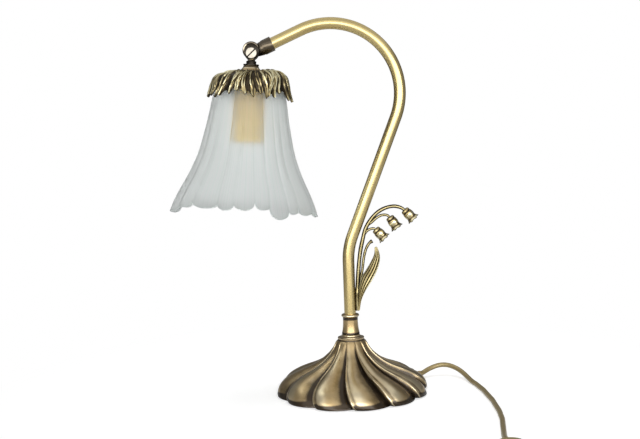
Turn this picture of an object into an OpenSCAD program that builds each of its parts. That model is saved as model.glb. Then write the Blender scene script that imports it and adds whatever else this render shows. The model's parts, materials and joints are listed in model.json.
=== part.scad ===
// Tulip shade table lamp: a petal foot, a bent tube arm with a bell flower sprig,
// a tilting knuckle and a leaf crown that carries a fluted glass shade.
// Millimetres. The origin is on the table, on the axis of the foot; +Z is up,
// the shade hangs towards -X and the front of the lamp faces -Y.

/* [Foot] */
// Outer radius of the petal tips on the table
foot_r = 84.5; // [78:0.5:92]
// Height of the flat neck rim that carries the column
neck_z = 62; // [58:0.5:68]
// Radius of the neck rim
neck_r = 14.8; // [13:0.1:17]
// Number of petals
petals = 12; // [9:1:14]
// Turn of a petal between neck and rim, in degrees
swirl = 25; // [0:1:32]
// Depth of the valleys between petals at the rim
petal_depth = 7.5; // [3:0.5:9]
// Wall of the cast foot
foot_wall = 2.6; // [2:0.1:3.4]

/* [Underside] */
// Thickness of the felt pad
felt_t = 1.5; // [1:0.1:2.5]
// Thickness of the steel base plate
plate_t = 1.5; // [1:0.1:2]
// Radius of the felt pad and the base plate
plate_r = 70; // [66:0.5:71]
// Radius of the ballast at its foot
ballast_r = 60; // [50:0.5:62]
// Height of the ballast
ballast_h = 24; // [18:0.5:26]

/* [Column] */
// Outer diameter of the arm tube
tube_d = 13; // [11:0.1:14]
// Wall of the arm tube
tube_wall = 1.25; // [1:0.05:1.6]
// Height of the beaded ring under the collar
ring_h = 4.4; // [3:0.1:6]
// Height of the column collar
collar_h = 22; // [16:0.5:30]
// Radius of the waist of the collar
collar_r = 8.3; // [8:0.1:9.5]
// Diameter of the hollow tie rod thread
rod_d = 8; // [7:0.1:8.4]
// Bore of the tie rod for the lead
rod_bore_d = 5.6; // [5:0.1:6]

/* [Arm] */
// Height at which the leaning line of the arm meets the column axis
bend_z = 162; // [140:1:185]
// Radius of the bend above the column
bend_r = 75; // [50:1:90]
// Lean of the straight middle of the arm, in degrees
lean = 21.7; // [16:0.1:26]
// Height of the centre of the hook
hook_z = 332.5; // [310:0.5:360]
// Radius of the hook
hook_r = 76; // [68:0.5:80]
// Slope of the straight end of the arm under the horizontal, in degrees
drop = 23.5; // [18:0.5:30]
// Distance from the end of the hook to the tilting axis
reach = 58.6; // [52:0.1:70]

/* [Knuckle] */
// Diameter of the ferrule that holds the tube
ferrule_d = 16.4; // [15.6:0.1:18]
// Distance from the tilting axis to the open end of the ferrule
ferrule_l = 25; // [23:0.5:32]
// Radius of the round clevis
clevis_r = 9.4; // [8.8:0.1:9.8]
// How far the round of the cheeks stands over the pivot
cheek_up = 3; // [0:0.5:4]
// Thickness of the tongue between the cheeks
tongue_t = 5.2; // [4:0.1:6]
// Thickness of one friction washer
friction_t = 0.7; // [0.5:0.05:1]
// Diameter of the pivot screw
pivot_d = 5; // [4:0.1:6]
// Lean of the head at rest, in degrees
head_lean = 5; // [0:0.5:8]

/* [Head] */
// Diameter of the head nipple thread
nipple_d = 10; // [9.6:0.1:10.4]
// Bore of the head nipple
nipple_bore_d = 6.4; // [5:0.1:7]
// Distance from the tilting axis to the seat of the crown
crown_d = 21; // [19:0.5:24]
// Radius of the foot of the cone cup
cup_r = 13.1; // [12:0.1:14]
// Thickness of the cast crown
crown_t = 1.5; // [1.2:0.1:2]
// Radius of the shoulder of the crown
crown_r = 38.7; // [36:0.1:42]
// Number of leaves of the crown
leaves = 12; // [8:1:14]
// Thickness of one gasket
gasket_t = 1.4; // [1:0.1:2]

/* [Glass] */
// Length of the glass shade
glass_l = 152; // [130:1:170]
// Radius of the mouth of the glass shade
glass_r = 82; // [76:0.5:90]
// Wall of the glass
glass_wall = 3; // [2.4:0.1:4]
// Number of flutes of the glass
flutes = 20; // [16:1:24]
// Depth of the scallops of the rim
scallop = 7; // [0:0.5:10]

/* [Lampholder] */
// Outer diameter of the lampholder
holder_d = 36; // [34:0.1:40]
// Length of the skirt of the lampholder
skirt_l = 46; // [44:0.5:54]
// Inner diameter of the screw shell
socket_d = 27.2; // [27:0.05:27.6]
// Depth of the screw shell
socket_l = 27; // [24:0.5:28]

/* [Sprig] */
// Diameter of the main stem at its foot
stem_d = 3.6; // [3:0.1:4.4]
// Thickness of the leaf
leaf_t = 1.6; // [1.2:0.1:2]
// Length of a bell
bell_l = 15; // [13.5:0.5:16]
// Radius of the mouth of a bell
bell_r = 6.8; // [6:0.1:9]

/* [Cord] */
// Diameter of the mains cord
cord_d = 5.5; // [5:0.1:6]
// Length of the strain relief
relief_l = 22; // [20:1:26]
// Number of turns of the put-away coil in its lower layer
coil_turns = 3; // [2:1:4]
// Radius of the innermost full turn of the coil
coil_r = 24; // [23:0.5:26]
// Gap between neighbouring turns of the coil
coil_gap = 0.5; // [0.45:0.05:0.8]
// Length of the in-line switch
switch_l = 58; // [52:1:60]
// Width of the in-line switch
switch_w = 24; // [22:0.5:28]
// Length of the plug body
plug_l = 36; // [32:1:42]

/* [Hidden] */
$fn = 64;
fit = 0.05;          // radial clearance of a running or sliding fit
seat = 0.05;         // gap between flat faces that bear on each other
soft = 0.3;          // gap between curved faces of different bodies
ferrule_over = 15;    // from the end of the arm tube to the pivot, along the arm
lead_stop = 13;       // from the end of the lead in the arm to the pivot
channel_dir = 27;     // direction of the lead under the ballast
skim = 0.04;         // how much thinner the straight runs of the arm are
lap = 0.6;           // how far they reach into the bends

tube_r = tube_d / 2;
tube_in = tube_r - tube_wall;
rod_r = rod_d / 2;

// Arm geometry in the XZ plane
bend_run = bend_r * tan(lean / 2);
hook_x = (hook_z - bend_z) * tan(lean) - hook_r / cos(lean);
mid_start = [bend_r - bend_r * cos(lean), bend_z - bend_run + bend_r * sin(lean)];
mid_end = [hook_x + hook_r * cos(lean), hook_z - hook_r * sin(lean)];
mid_l = norm(mid_end - mid_start);
end_start = [hook_x - hook_r * sin(drop), hook_z + hook_r * cos(drop)];
pivot_x = end_start[0] - reach * cos(drop);
pivot_z = end_start[1] - reach * sin(drop);

// Heights of the stack on the foot
plate_z = felt_t;
ballast_z = plate_z + plate_t;
ring_z = neck_z + seat;
collar_z = ring_z + ring_h + seat;
tube_z = collar_z + 1.5;
insert_l = 18;
floor_z = ballast_z + 11;            // ceiling of the pocket for the tie nut
screw_at = 48;                       // distance of the plate screws from the axis
rod_low = floor_z - 5.9;             // lower end of the tie rod

// Distances below the tilting axis, along the axis of the head
shoulder_d = clevis_r - 1;
flange_d = shoulder_d + 3.3;
cup_d = flange_d + 1.7;
crown_plate = crown_d + seat;
gasket_d = crown_plate + crown_t + seat;
glass_d = gasket_d + gasket_t + seat;
lower_gasket_d = glass_d + glass_wall + seat;
carrier_d = lower_gasket_d + gasket_t + seat;
carrier_t = 1.5;
head_nut_d = carrier_d + carrier_t + seat;
head_nut_t = 4.5;
cap_d = head_nut_d + head_nut_t + seat;
cap_l = 16;
skirt_d = cap_d + cap_l + seat;
core_l = 13;
shell_d = skirt_d + core_l + 1;

// Route of the cord, points on the table in millimetres
relief_dir = 41;
relief_tip = [foot_r - 4.5, 0.5875 * (foot_r - 4.5), 5.7];
near_route = [relief_tip, relief_tip + [3.8, 3.3, 0], relief_tip + [13, 9.5, 3.3], relief_tip + [24, 12.5, 6.1], [114, 57, 12.2],
    [123, 50, 10], [129, 40, 7.2], [133, 28, 4.6], [136, 15, 3], [139, 2, 2.75],
    [141, -11, 2.75], [143, -24, 2.75], [144, -38, 2.75], [145, -52, 2.75], [146, -66, 2.75],
    [146, -80, 2.75], [146, -94, 2.75], [146, -108, 2.75], [145, -122, 2.75], [144, -136, 2.75],
    [142, -150, 2.75], [140, -164, 2.75], [138, -178, 2.9], [136, -192, 3.6], [134.6, -204, 5],
    [134, -215, 6.3], [134, -225, 6.5], [134, -236, 6.5]];
switch_at = [134, -228];
far_start = [134, -220 - switch_l];
coil_at = [70, -287];
cord_z = cord_d / 2;
tie_t = 0.8;           // thickness of the strap that ties the coil
step_out = cord_d + coil_gap;
coil_out_r = coil_r + coil_turns * step_out;
far_turn = 28;

// Names of all sub-parts

// ---------- helpers ----------
function lerp(a, b, t) = a + (b - a) * t;
function unit(v) = v / norm(v);
function ease(t) = let (u = min(1, max(0, t))) u * u * (3 - 2 * u);
// Point of a smooth curve through the points p, at t from 0 to 1
function curve(p, t) = let (n = len(p) - 1, i = min(n - 1, floor(t * n)), u = t * n - i,
    a = p[max(0, i - 1)], b = p[i], c = p[i + 1], d = p[min(n, i + 2)])
    0.5 * (2 * b + (c - a) * u + (2 * a - 5 * b + 4 * c - d) * u * u + (3 * b - a - 3 * c + d) * u * u * u);

// Skin over rings of points; a looped skin closes the last ring on the first.
// Rings that follow each other downwards are given with down = true, to face outwards.
module skin(rings, looped = false, down = false) {
    n = len(rings[0]);
    m = len(rings);
    rows = looped ? m : m - 1;
    sides = [for (i = [0:rows - 1], j = [0:n - 1]) let (a = i * n + j, b = i * n + (j + 1) % n,
        k = ((i + 1) % m) * n, c = k + (j + 1) % n, d = k + j) each (down ? [[a, b, c], [a, c, d]] : [[a, c, b], [a, d, c]])];
    e = (m - 1) * n;
    caps = looped ? [] : [for (j = [1:n - 2]) each (down ? [[0, j + 1, j], [e, e + j, e + j + 1]]
        : [[0, j, j + 1], [e, e + j + 1, e + j]])];
    polyhedron([for (r = rings) each r], concat(sides, caps), convexity = 10);
}
// Ring of a tube round point p, square to direction t
function ring(p, t, up, rx, ry, sides) = let (s = unit(cross(t, up)), u = cross(s, t))
    [for (k = [0:sides - 1]) p + s * rx * cos(360 * k / sides) + u * ry * sin(360 * k / sides)];
function heading(p, i) = unit(p[min(len(p) - 1, i + 1)] - p[max(0, i - 1)]);
// Tube along the points p, with a radius at each point
module sweep(p, r, sides, up = [0, 0, 1]) {
    skin([for (i = [0:len(p) - 1]) ring(p[i], heading(p, i), up, r[i], r[i], sides)], down = true);
}
module ring_disc(ro, ri, h) {
    difference() {
        cylinder(r = ro, h = h);
        translate([0, 0, -1]) cylinder(r = ri, h = h + 2);
    }
}
module hex_nut(flats, bore_r, h) {
    difference() {
        cylinder(r = flats / sqrt(3), h = h, $fn = 6);
        translate([0, 0, -1]) cylinder(r = bore_r, h = h + 2);
    }
}
module screw(head_r, head_h, shank_r, shank_l, slot_w = 1) {
    difference() {
        union() {
            cylinder(r = head_r, h = head_h);
            translate([0, 0, -shank_l]) cylinder(r = shank_r, h = shank_l);
        }
        translate([-head_r - 1, -slot_w / 2, head_h * 0.55]) cube([2 * head_r + 2, slot_w, head_h]);
    }
}

// ---------- foot ----------
// Ridge line of the foot from rim to neck, as [radius, height]
ridge = [[foot_r, 0.6], [foot_r, 3.6], [foot_r - 2.4, 10.4], [foot_r - 8.4, 17.2],
    [foot_r - 18.2, 23], [foot_r - 28.8, 27.4], [foot_r - 39.2, 31.4], [foot_r - 49.5, 36.8],
    [neck_r + 13.2, neck_z - 20], [neck_r + 9, neck_z - 16.2], [neck_r + 5, neck_z - 11],
    [neck_r + 2, neck_z - 5.4], [neck_r, neck_z - 2.4], [neck_r, neck_z]];
foot_rows = 13;
petal_steps = 8;
gland_angle = 30;
gland_arch = 10.5;
arch_top = 16;
// Share of the valley depth at row t: full on the rim, none on the neck
function valley(t) = 1 - ease((t - 0.1) / 0.82);
// Bulge across one petal: 0 in the crease, 1 on the crown, fuller on one side
function bulge(u) = pow(sin(180 * pow(u, 0.62)), lerp(0.44, 0.95, u));
function petal_turn(t) = -swirl * pow(t, 0.85) * (1 - 0.15 * t);
// The rim lifts in a low arch where the cord leaves
function lift(z, angle) = let (w = (((angle - gland_angle) % 360) + 540) % 360 - 180,
    h = gland_arch * (1 - ease((abs(w) - 4) / 5)))
    z < arch_top ? h + z * (arch_top - h) / arch_top : z;
function foot_point(t, j, inset) = let (p = curve(ridge, t), q = curve(ridge, min(1, t + 0.01)),
    o = curve(ridge, max(0, t - 0.01)), g = unit(q - o), u = (j % petal_steps) / petal_steps,
    dip = petal_depth * valley(t) * (1 - bulge(u)),
    r = p[0] - dip * (0.35 + 0.65 * g[1]) - inset * g[1],
    z = p[1] - dip * 0.95 * abs(g[0]) + inset * g[0],
    a = 360 * j / (petals * petal_steps) + petal_turn(t),
    zz = lift(max(0.6, z), 360 * j / (petals * petal_steps)))
    [r * cos(a), r * sin(a), zz];
function foot_ring(t, inset) = [for (j = [0:petals * petal_steps - 1]) foot_point(t, j, inset)];
function flat_ring(r, z, n) = [for (j = [0:n - 1]) [r * cos(360 * j / n - swirl * 0.85), r * sin(360 * j / n - swirl * 0.85), z]];

module base_shell() {
    n = petals * petal_steps;
    inner_top = neck_z - foot_wall - 1;
    color([0.62, 0.50, 0.30]) skin(concat(
        [for (i = [0:foot_rows]) foot_ring(i / foot_rows, 0)],
        [flat_ring(rod_r + 0.4, neck_z, n), flat_ring(rod_r + 0.4, inner_top, n),
         flat_ring(neck_r - foot_wall, inner_top, n)],
        [for (i = [7:-1:0]) foot_ring(0.88 * i / 7, foot_wall)]), looped = true);
}
module felt_pad() {
    color([0.12, 0.20, 0.14]) difference() {
        cylinder(r = plate_r + 1, h = felt_t);
        room_at_rim();
        for (a = [90, 210, 330]) rotate(a) translate([screw_at, 0, -1]) cylinder(r = 3.4, h = felt_t + 2);
    }
}
module base_plate() {
    color([0.45, 0.44, 0.42]) translate([0, 0, plate_z]) difference() {
        cylinder(r = plate_r, h = plate_t - seat);
        translate([0, 0, -plate_z]) room_at_sleeve();
        translate([0, 0, -plate_z]) room_at_rim();
        translate([0, 0, -1]) cylinder(r = 9, h = 4);
        for (a = [90, 210, 330]) rotate(a) translate([screw_at, 0, -1]) cylinder(r = 1.8, h = 4);
    }
}
module plate_screws() {
    color([0.6, 0.6, 0.6]) for (a = [90, 210, 330])
        rotate(a) translate([screw_at, 0, plate_z - seat]) rotate([180, 0, 0]) screw(2.9, 1.2, 1.5, 8, 0.8);
}
module base_weight() {
    top_z = ballast_z + ballast_h;
    color([0.28, 0.27, 0.26]) difference() {
        rotate_extrude() polygon([[0, ballast_z], [ballast_r, ballast_z], [ballast_r, ballast_z + 4],
            [ballast_r - 7, ballast_z + 8.5], [ballast_r - 22, ballast_z + 16], [22, top_z], [0, top_z]]);
        translate([0, 0, ballast_z - 1]) cylinder(r = 13, h = floor_z - ballast_z + 1);
        cylinder(r = rod_r + fit, h = 100);
        for (a = [90, 210, 330]) rotate(a) translate([screw_at, 0, 0]) cylinder(r = 1.5 + fit, h = ballast_z + 7);
        rotate(channel_dir) translate([10, -4, ballast_z - 1]) cube([60, 8, 8.4]);
        rotate(180) translate([10, -5, ballast_z - 1]) cube([22, 10, 7]);
    }
}
module tie_rod() {
    color([0.72, 0.68, 0.55]) translate([0, 0, rod_low])
        ring_disc(rod_r, rod_bore_d / 2, tube_z + insert_l - 1 - rod_low);
}
module tie_nut() {
    color([0.7, 0.66, 0.5]) translate([0, 0, floor_z - 1.2 - 2 * seat - 4.5]) hex_nut(13, rod_r + fit, 4.5);
}
module tie_washer() {
    color([0.6, 0.6, 0.6]) translate([0, 0, floor_z - 1.2 - seat]) ring_disc(11, rod_r + fit, 1.2);
}

// ---------- column ----------
module neck_ring() {
    color([0.70, 0.58, 0.36]) translate([0, 0, ring_z]) difference() {
        union() {
            cylinder(r = collar_r + 0.6, h = ring_h);
            translate([0, 0, ring_h * 0.52]) rotate_extrude() translate([collar_r + 0.6, 0]) circle(r = ring_h * 0.36);
            cylinder(r1 = collar_r + 3, r2 = collar_r + 1, h = 1.2);
        }
        translate([0, 0, -1]) cylinder(r = rod_r + fit, h = ring_h + 2);
    }
}
module column_collar() {
    h = collar_h;
    color([0.66, 0.54, 0.33]) translate([0, 0, collar_z]) rotate_extrude() difference() {
        union() {
            polygon(concat([[0, 0]], [for (i = [0:10]) let (t = i / 10)
                [collar_r + 1.7 * pow(1 - t, 3), t * (h - 3)]], [[collar_r, h], [0, h]]));
            translate([collar_r, h - 1.9]) circle(r = 1.6, $fn = 32);
        }
        translate([-1, -1]) square([rod_r + fit + 1, h + 2]);
        translate([-1, tube_z - collar_z - seat]) square([tube_r + fit + 1, h + 2]);
    }
}
module tube_insert() {
    color([0.7, 0.62, 0.4]) translate([0, 0, tube_z]) ring_disc(tube_in - fit, rod_r + fit, insert_l);
}
// The arm as a solid bar of radius r; the straight runs lap into the bends
module arm_run(at, lean_by, length, r) {
    translate([at[0], 0, at[1]]) rotate([0, lean_by, 0]) translate([0, 0, -lap])
        cylinder(r = r - skim, h = length + 2 * lap);
}
module arm_bend(at, radius, from, sweep_by, r) {
    translate([at[0], 0, at[1]]) rotate([90, 0, 0]) rotate([0, 0, from])
        rotate_extrude(angle = sweep_by) translate([radius, 0]) circle(r = r);
}
module arm_bar(r, z0, end_l, open = 0) {
    bend_z0 = bend_z - bend_run;
    translate([0, 0, z0 - open]) cylinder(r = r - skim, h = bend_z0 - z0 + lap + open);
    arm_bend([bend_r, bend_z0], bend_r, 180 - lean, lean, r);
    arm_run(mid_start, lean, mid_l, r);
    arm_bend([hook_x, hook_z], hook_r, -lean, lean + 90 + drop, r);
    arm_run(end_start, -90 - drop, end_l - lap + open, r);
}
tube_end = reach - ferrule_over;
module arm_tube() {
    color([0.78, 0.66, 0.40]) difference() {
        arm_bar(tube_r, tube_z, tube_end);
        arm_bar(tube_in, tube_z, tube_end, 2);
    }
}
lead_r = 2.3;
module arm_lead() {
    color([0.85, 0.83, 0.78]) arm_bar(lead_r, rod_low + 2.6, reach - lead_stop);
}
// Lead under the ballast, from the strain relief to the foot of the tie rod
relief_start = relief_tip - relief_l * [cos(relief_dir), sin(relief_dir), 0];
sleeve_r = cord_d / 2 + 1.3;
sleeve_rim_r = cord_d / 2 + 1.9;
sleeve_rim_at = 1;
sleeve_rim_h = 1.8;
sleeve_room = 0.4;
module along_relief() {
    translate(relief_start) rotate([0, 0, relief_dir]) rotate([0, 90, 0]) children();
}
// Room that the plate and the felt leave round the relief sleeve and its rim
module room_at_sleeve() {
    along_relief() translate([0, 0, -sleeve_room]) cylinder(r = sleeve_r + sleeve_room, h = relief_l);
}
module room_at_rim() {
    along_relief() translate([0, 0, sleeve_rim_at - sleeve_room])
        cylinder(r = sleeve_rim_r + sleeve_room, h = sleeve_rim_h + 2 * sleeve_room);
}
module base_lead() {
    low = ballast_z + 2.5;
    way = [relief_start, [52, 26.3, low + 0.1], [38, 19.2, low], [24, 12, low], [12, 5.8, low - 0.1], [5, 2.3, low - 0.3],
        [1, 0.4, low + 0.3], [0, 0, rod_low - 0.3], [0, 0, rod_low + 2.5]];
    color([0.78, 0.66, 0.40]) sweep(fine(way, 12), [for (t = [0:12]) lead_r], 8);
}
module cord_clamp() {
    color([0.3, 0.3, 0.3]) rotate(channel_dir) translate([40, 0, ballast_z]) difference() {
        translate([0, -3.9, 0]) cube([7, 7.8, 7.2]);
        translate([-1, 0, 2.6]) rotate([0, 90, 0]) cylinder(r = lead_r + 0.5, h = 9);
    }
}
module clamp_screw() {
    color([0.6, 0.6, 0.6]) rotate(180) translate([22, 0, ballast_z + 1.6]) screw(2.6, 1.4, 1.4, 1.5, 0.7);
}
module earth_screw() {
    color([0.75, 0.7, 0.4]) rotate(180) translate([15.5, -0.5, ballast_z + 1.6]) screw(2.4, 1.4, 1.3, 1.5, 0.7);
}

// ---------- cord ----------
module strain_relief() {
    color([0.55, 0.45, 0.28]) along_relief()
        difference() {
            union() {
                cylinder(r1 = sleeve_r, r2 = cord_r + 0.5, h = relief_l);
                translate([0, 0, sleeve_rim_at]) cylinder(r = sleeve_rim_r, h = sleeve_rim_h);
            }
            translate([0, 0, -1]) cylinder(r = lead_r + fit, h = 2.5);
        }
}
cord_r = cord_d / 2;
module cord_near() {
    p = near_route;
    color([0.80, 0.66, 0.38]) sweep(p, [for (q = p) cord_r], 8);
}
// Bend from the switch to the foot of the coil, a quarter turn
far_route = let (c = [far_start[0] - far_turn, coil_at[1] - coil_out_r + far_turn])
    concat([[far_start[0], far_start[1], 6.5], [far_start[0], far_start[1] - 12, 6.5]],
    [for (k = [0:5]) [c[0] + far_turn * cos(-18 * k), c[1] + far_turn * sin(-18 * k),
        lerp(5.4, coil_high(0), ease(k / 4))]],
    [[coil_at[0] + cord_d, coil_at[1] - coil_out_r, coil_high(0)]]);
module cord_far() {
    color([0.80, 0.66, 0.38]) sweep(far_route, [for (q = far_route) cord_r], 8);
}
// Coil: it spirals in on the table, climbs one layer in the half turn where it reverses,
// and spirals out again on top. Turns are counted from the outside.
coil_top_turns = coil_turns - 0.5;
coil_all = coil_turns + 0.5 + coil_top_turns;
loop_steps = 24;
function coil_rad(v) = v < coil_turns ? coil_out_r - step_out * v
    : v < coil_turns + 0.25 ? coil_r - step_out * (v - coil_turns)
    : v < coil_turns + 0.5 ? coil_r - step_out * (coil_turns + 0.5 - v)
    : coil_r + step_out * (v - coil_turns - 0.5);
function coil_high(v) = cord_z + tie_t + seat + step_out * ease((v - coil_turns) / 0.5);
function coil_point(v) = let (a = -90 - 360 * v)
    [coil_at[0] + coil_rad(v) * cos(a), coil_at[1] + coil_rad(v) * sin(a), coil_high(v)];
coil_path = concat([[coil_at[0] + cord_d, coil_at[1] - coil_out_r, coil_high(0)]],
    [for (k = [0:coil_all * loop_steps]) coil_point(k / loop_steps)],
    [coil_point(coil_all) - [cord_d, 0, 0]]);
coil_end = coil_path[len(coil_path) - 1];
module cord_coil() {
    color([0.80, 0.66, 0.38]) sweep(coil_path, [for (q = coil_path) cord_r], 6);
}
coil_least = min([for (i = [1:3:len(coil_path) - 1], j = [i + loop_steps * 0.6:1:len(coil_path) - 2])
    norm(coil_path[i] - coil_path[floor(j)])]) - cord_d;
echo(str("least gap of the coil to itself ", coil_least, " mm"));
module coil_tie() {
    inner = coil_rad(coil_turns - 0.25) - cord_r - soft;
    outer = max(coil_rad(0.75), coil_rad(coil_all - 0.25)) + cord_r + soft;
    high = coil_high(coil_all) + cord_r + soft;
    color([0.15, 0.15, 0.15]) translate([coil_at[0], coil_at[1] - 2, 0]) difference() {
        translate([inner - tie_t, 0, 0]) cube([outer - inner + 2 * tie_t, 4, high + tie_t]);
        translate([inner, -1, tie_t]) cube([outer - inner, 6, high - tie_t]);
    }
}
tail_l = 30;
plug_x = coil_end[0] - tail_l;
plug_z = 7;
tail_route = [for (t = [0, 0.2, 0.45, 0.7, 0.85, 1]) [coil_end[0] - tail_l * t, coil_end[1],
    lerp(coil_end[2], plug_z, ease((t - 0.45) / 0.4))]];
module cord_tail() {
    color([0.80, 0.66, 0.38]) sweep(tail_route, [for (q = tail_route) cord_r], 8);
}
module plug_body() {
    t = 2 * plug_z - 1;
    color([0.78, 0.64, 0.38]) translate([plug_x, coil_end[1], 0.5]) difference() {
        union() {
            translate([-6, 0, plug_z - 0.5]) rotate([0, 90, 0]) cylinder(r1 = 5.4, r2 = cord_r + 0.7, h = 6);
            translate([-plug_l, 0, 0]) linear_extrude(t) polygon([[0, -17.5], [8, -17.5], [16, -14],
                [31, -6.5], [31, 6.5], [16, 14], [8, 17.5], [0, 17.5]]);
        }
        translate([-3, 0, plug_z - 0.5]) rotate([0, 90, 0]) cylinder(r = cord_r + fit, h = 4);
    }
}
module plug_pins() {
    color([0.75, 0.75, 0.72]) for (s = [-1, 1])
        translate([plug_x - plug_l - 19, coil_end[1] + s * 9.3, plug_z]) rotate([0, 90, 0]) cylinder(r = 2, h = 19 - seat);
}
// In-line switch: two shells round the cord with a rocker on top
switch_t = 13;
rocker_tilt = 7;
module switch_outline() {
    hull() for (y = [-1, 1]) translate([0, y * (switch_l / 2 - switch_w / 2)]) circle(r = switch_w / 2, $fn = 48);
}
module at_switch() {
    translate([switch_at[0], switch_at[1] - switch_l / 2, 0]) children();
}
module switch_lower() {
    color([0.74, 0.61, 0.36]) at_switch() difference() {
        translate([0, 0, 0.3]) linear_extrude(6.2) intersection() {
            switch_outline();
            square([switch_w + 2, switch_l - 0.1], center = true);
        }
        translate([0, switch_l / 2 + 1, 6.5]) rotate([90, 0, 0]) cylinder(r = cord_r + soft, h = 11);
        translate([0, -switch_l / 2 + 10, 6.5]) rotate([90, 0, 0]) cylinder(r = cord_r + soft, h = 11);
        translate([-8, -13, 2]) cube([16, 26, 8]);
    }
}
module switch_upper() {
    color([0.74, 0.61, 0.36]) at_switch() difference() {
        translate([0, 0, 6.5 + seat]) linear_extrude(switch_t - 6.5) switch_outline();
        translate([0, switch_l / 2 + 1, 6.5]) rotate([90, 0, 0]) cylinder(r = cord_r + soft, h = 11);
        translate([0, -switch_l / 2 + 10, 6.5]) rotate([90, 0, 0]) cylinder(r = cord_r + soft, h = 11);
        translate([-6.5, -12, 5]) cube([13, 24, 20]);
        for (s = [-1, 1]) translate([0, 0, 10.5]) rotate([0, s * 90, 0]) cylinder(r = 1 + fit, h = 8.5);
        for (s = [-1, 1]) translate([s * 7.5, s * 17.5, 9]) cylinder(r = 1.2 + fit, h = 10);
    }
}
module switch_screws() {
    color([0.6, 0.6, 0.6]) at_switch() for (s = [-1, 1])
        translate([s * 7.5, s * 17.5, switch_t + seat * 2]) screw(2, 0.8, 1.2, 3.5, 0.6);
}
module switch_rocker() {
    color([0.30, 0.22, 0.12]) at_switch() translate([0, 0, 10.5]) rotate([rocker_tilt, 0, 0]) {
        intersection() {
            translate([-6, -11, -3]) cube([12, 22, 8]);
            union() {
                rotate([9, 0, 0]) translate([-6, -11, -3]) cube([12, 11, 5.6]);
                rotate([-9, 0, 0]) translate([-6, 0, -3]) cube([12, 11, 5.6]);
            }
        }
        for (s = [-1, 1]) rotate([0, s * 90, 0]) cylinder(r = 1, h = 8);
    }
}

// ---------- sprig ----------
// Points of the stems in the plane of the arm, as [x, z] beside the column
stem_x = tube_r + stem_d / 2;
sprig_z = collar_z + collar_h + 3;
function at_side(p, y = 0) = [for (q = p) [q[0] + stem_x, y, q[1] + sprig_z]];
stem_line = at_side([[0, 0], [0, 12], [0.6, 24], [1.9, 40], [3.4, 54.5], [5.4, 67.7], [8, 78.8], [11.1, 89.9],
    [15.8, 98.6], [21.5, 105.6], [28.3, 110.9], [36.1, 114.2], [43.9, 115.2], [50.5, 113.7], [54.8, 111.1]]);
branch_high = at_side([[19.35, 97.5], [23, 102.2], [28.1, 105.2], [32.6, 106], [36, 105.4], [38.2, 103.7]]);
branch_low = at_side([[13.9, 87.6], [15.2, 89.8], [17.7, 91], [20.4, 91.2], [22.2, 90.8]]);
bud_line = at_side([[3.1, 24.5], [4.8, 36.3], [6.8, 45.1], [8.4, 56.3], [10.4, 65.2], [13, 71.4], [16, 75.4], [19, 77.2]], 1.6);
function thin(p, r0, r1) = [for (i = [0:len(p) - 1]) lerp(r0, r1, i / (len(p) - 1))];
function fine(p, n) = [for (i = [0:n]) curve(p, i / n)];
module sprig_stem() {
    p = fine(stem_line, 20);
    color([0.72, 0.60, 0.36]) sweep(p, thin(p, stem_d / 2, 1.3), 8, [0, 1, 0]);
}
module sprig_branches() {
    color([0.72, 0.60, 0.36]) for (b = [branch_high, branch_low]) {
        p = fine(b, 6);
        sweep(p, thin(p, 1.25, 1.1), 8, [0, 1, 0]);
    }
}
module sprig_bud() {
    p = fine(bud_line, 10);
    color([0.72, 0.60, 0.36]) sweep(p, [for (i = [0:10]) let (t = i / 10) 1.2 + 0.2 * t + 0.5 * exp(-pow((t - 0.95) / 0.06, 2))],
        8, [0, 1, 0]);
}
// Leaf: a pointed blade with a folded midrib and lengthwise channels
leaf_left = at_side([[0.2, 0.5], [1.2, 12.3], [2.8, 27.9], [5.2, 38], [9.7, 44.5], [15.4, 53.3], [20.1, 62.6], [21.6, 70.8]]);
leaf_right = at_side([[2.4, 0.5], [4.6, 12.1], [9.4, 22.7], [17, 34.2], [22.9, 45.2], [26.2, 56.2], [26, 64], [23, 71.2]]);
leaf_rows = 12;
leaf_cols = 8;
leaf_y = -(stem_d / 2 + 1.2);
function leaf_height(u, t) = let (m = max(0.12, sin(180 * t))) 2.2 * m * pow(abs(2 * u - 1), 1.4) + 0.35 * m * cos(360 * 5 * u);
function leaf_ring(t) = let (a = curve(leaf_left, t), b = curve(leaf_right, t),
    row = [for (k = [0:leaf_cols]) let (u = k / leaf_cols, p = lerp(a, b, u)) [p[0], leaf_y - leaf_height(u, t), p[2]]])
    concat(row, [for (k = [leaf_cols:-1:0]) row[k] + [0, leaf_t, 0]]);
module sprig_leaf() {
    color([0.72, 0.60, 0.36]) skin([for (i = [0:leaf_rows]) leaf_ring(i / leaf_rows)]);
}
// Bell flower: a hollow cup with a waist and six pointed lobes, hung from its neck
lobes = 6;
bell_steps = 4;
bell_wall = 0.9;
bell_out = [[1.7, 0], [3.2, 0.7], [4.2, 2.8], [5.2, 4.8], [5.4, 7.8], [5, 10.6], [5.5, bell_l - 2.4], [bell_r, bell_l]];
function bell_ring(r, z, lobe, n) = [for (j = [0:n - 1]) let (u = cos(360 * lobes * j / n), s = 1 + 0.10 * lobe * u)
    [r * s * cos(360 * j / n), r * s * sin(360 * j / n), -z - lobe * 0.8 * u]];
function bell_rings() = let (n = lobes * bell_steps, m = 6)
    concat([for (i = [0:m]) let (t = i / m, p = curve(bell_out, t)) bell_ring(p[0], p[1], pow(t, 5), n)],
    [for (i = [m:-1:0]) let (t = i / m, p = curve(bell_out, t)) bell_ring(max(0.7, p[0] - bell_wall),
        i == m ? p[1] : p[1] + bell_wall * (1 - t), pow(t, 5), n)]);
module bell(tip, tilt) {
    color([0.74, 0.62, 0.38]) translate([tip[0], tip[1], tip[2]]) rotate([0, -tilt, 0])
        translate([0, 0, -0.2]) skin(bell_rings(), looped = true, down = true);
}
module bell_high() {
    bell(stem_line[len(stem_line) - 1], 43);
}
module bell_middle() {
    bell(branch_high[len(branch_high) - 1], 34);
}
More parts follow.
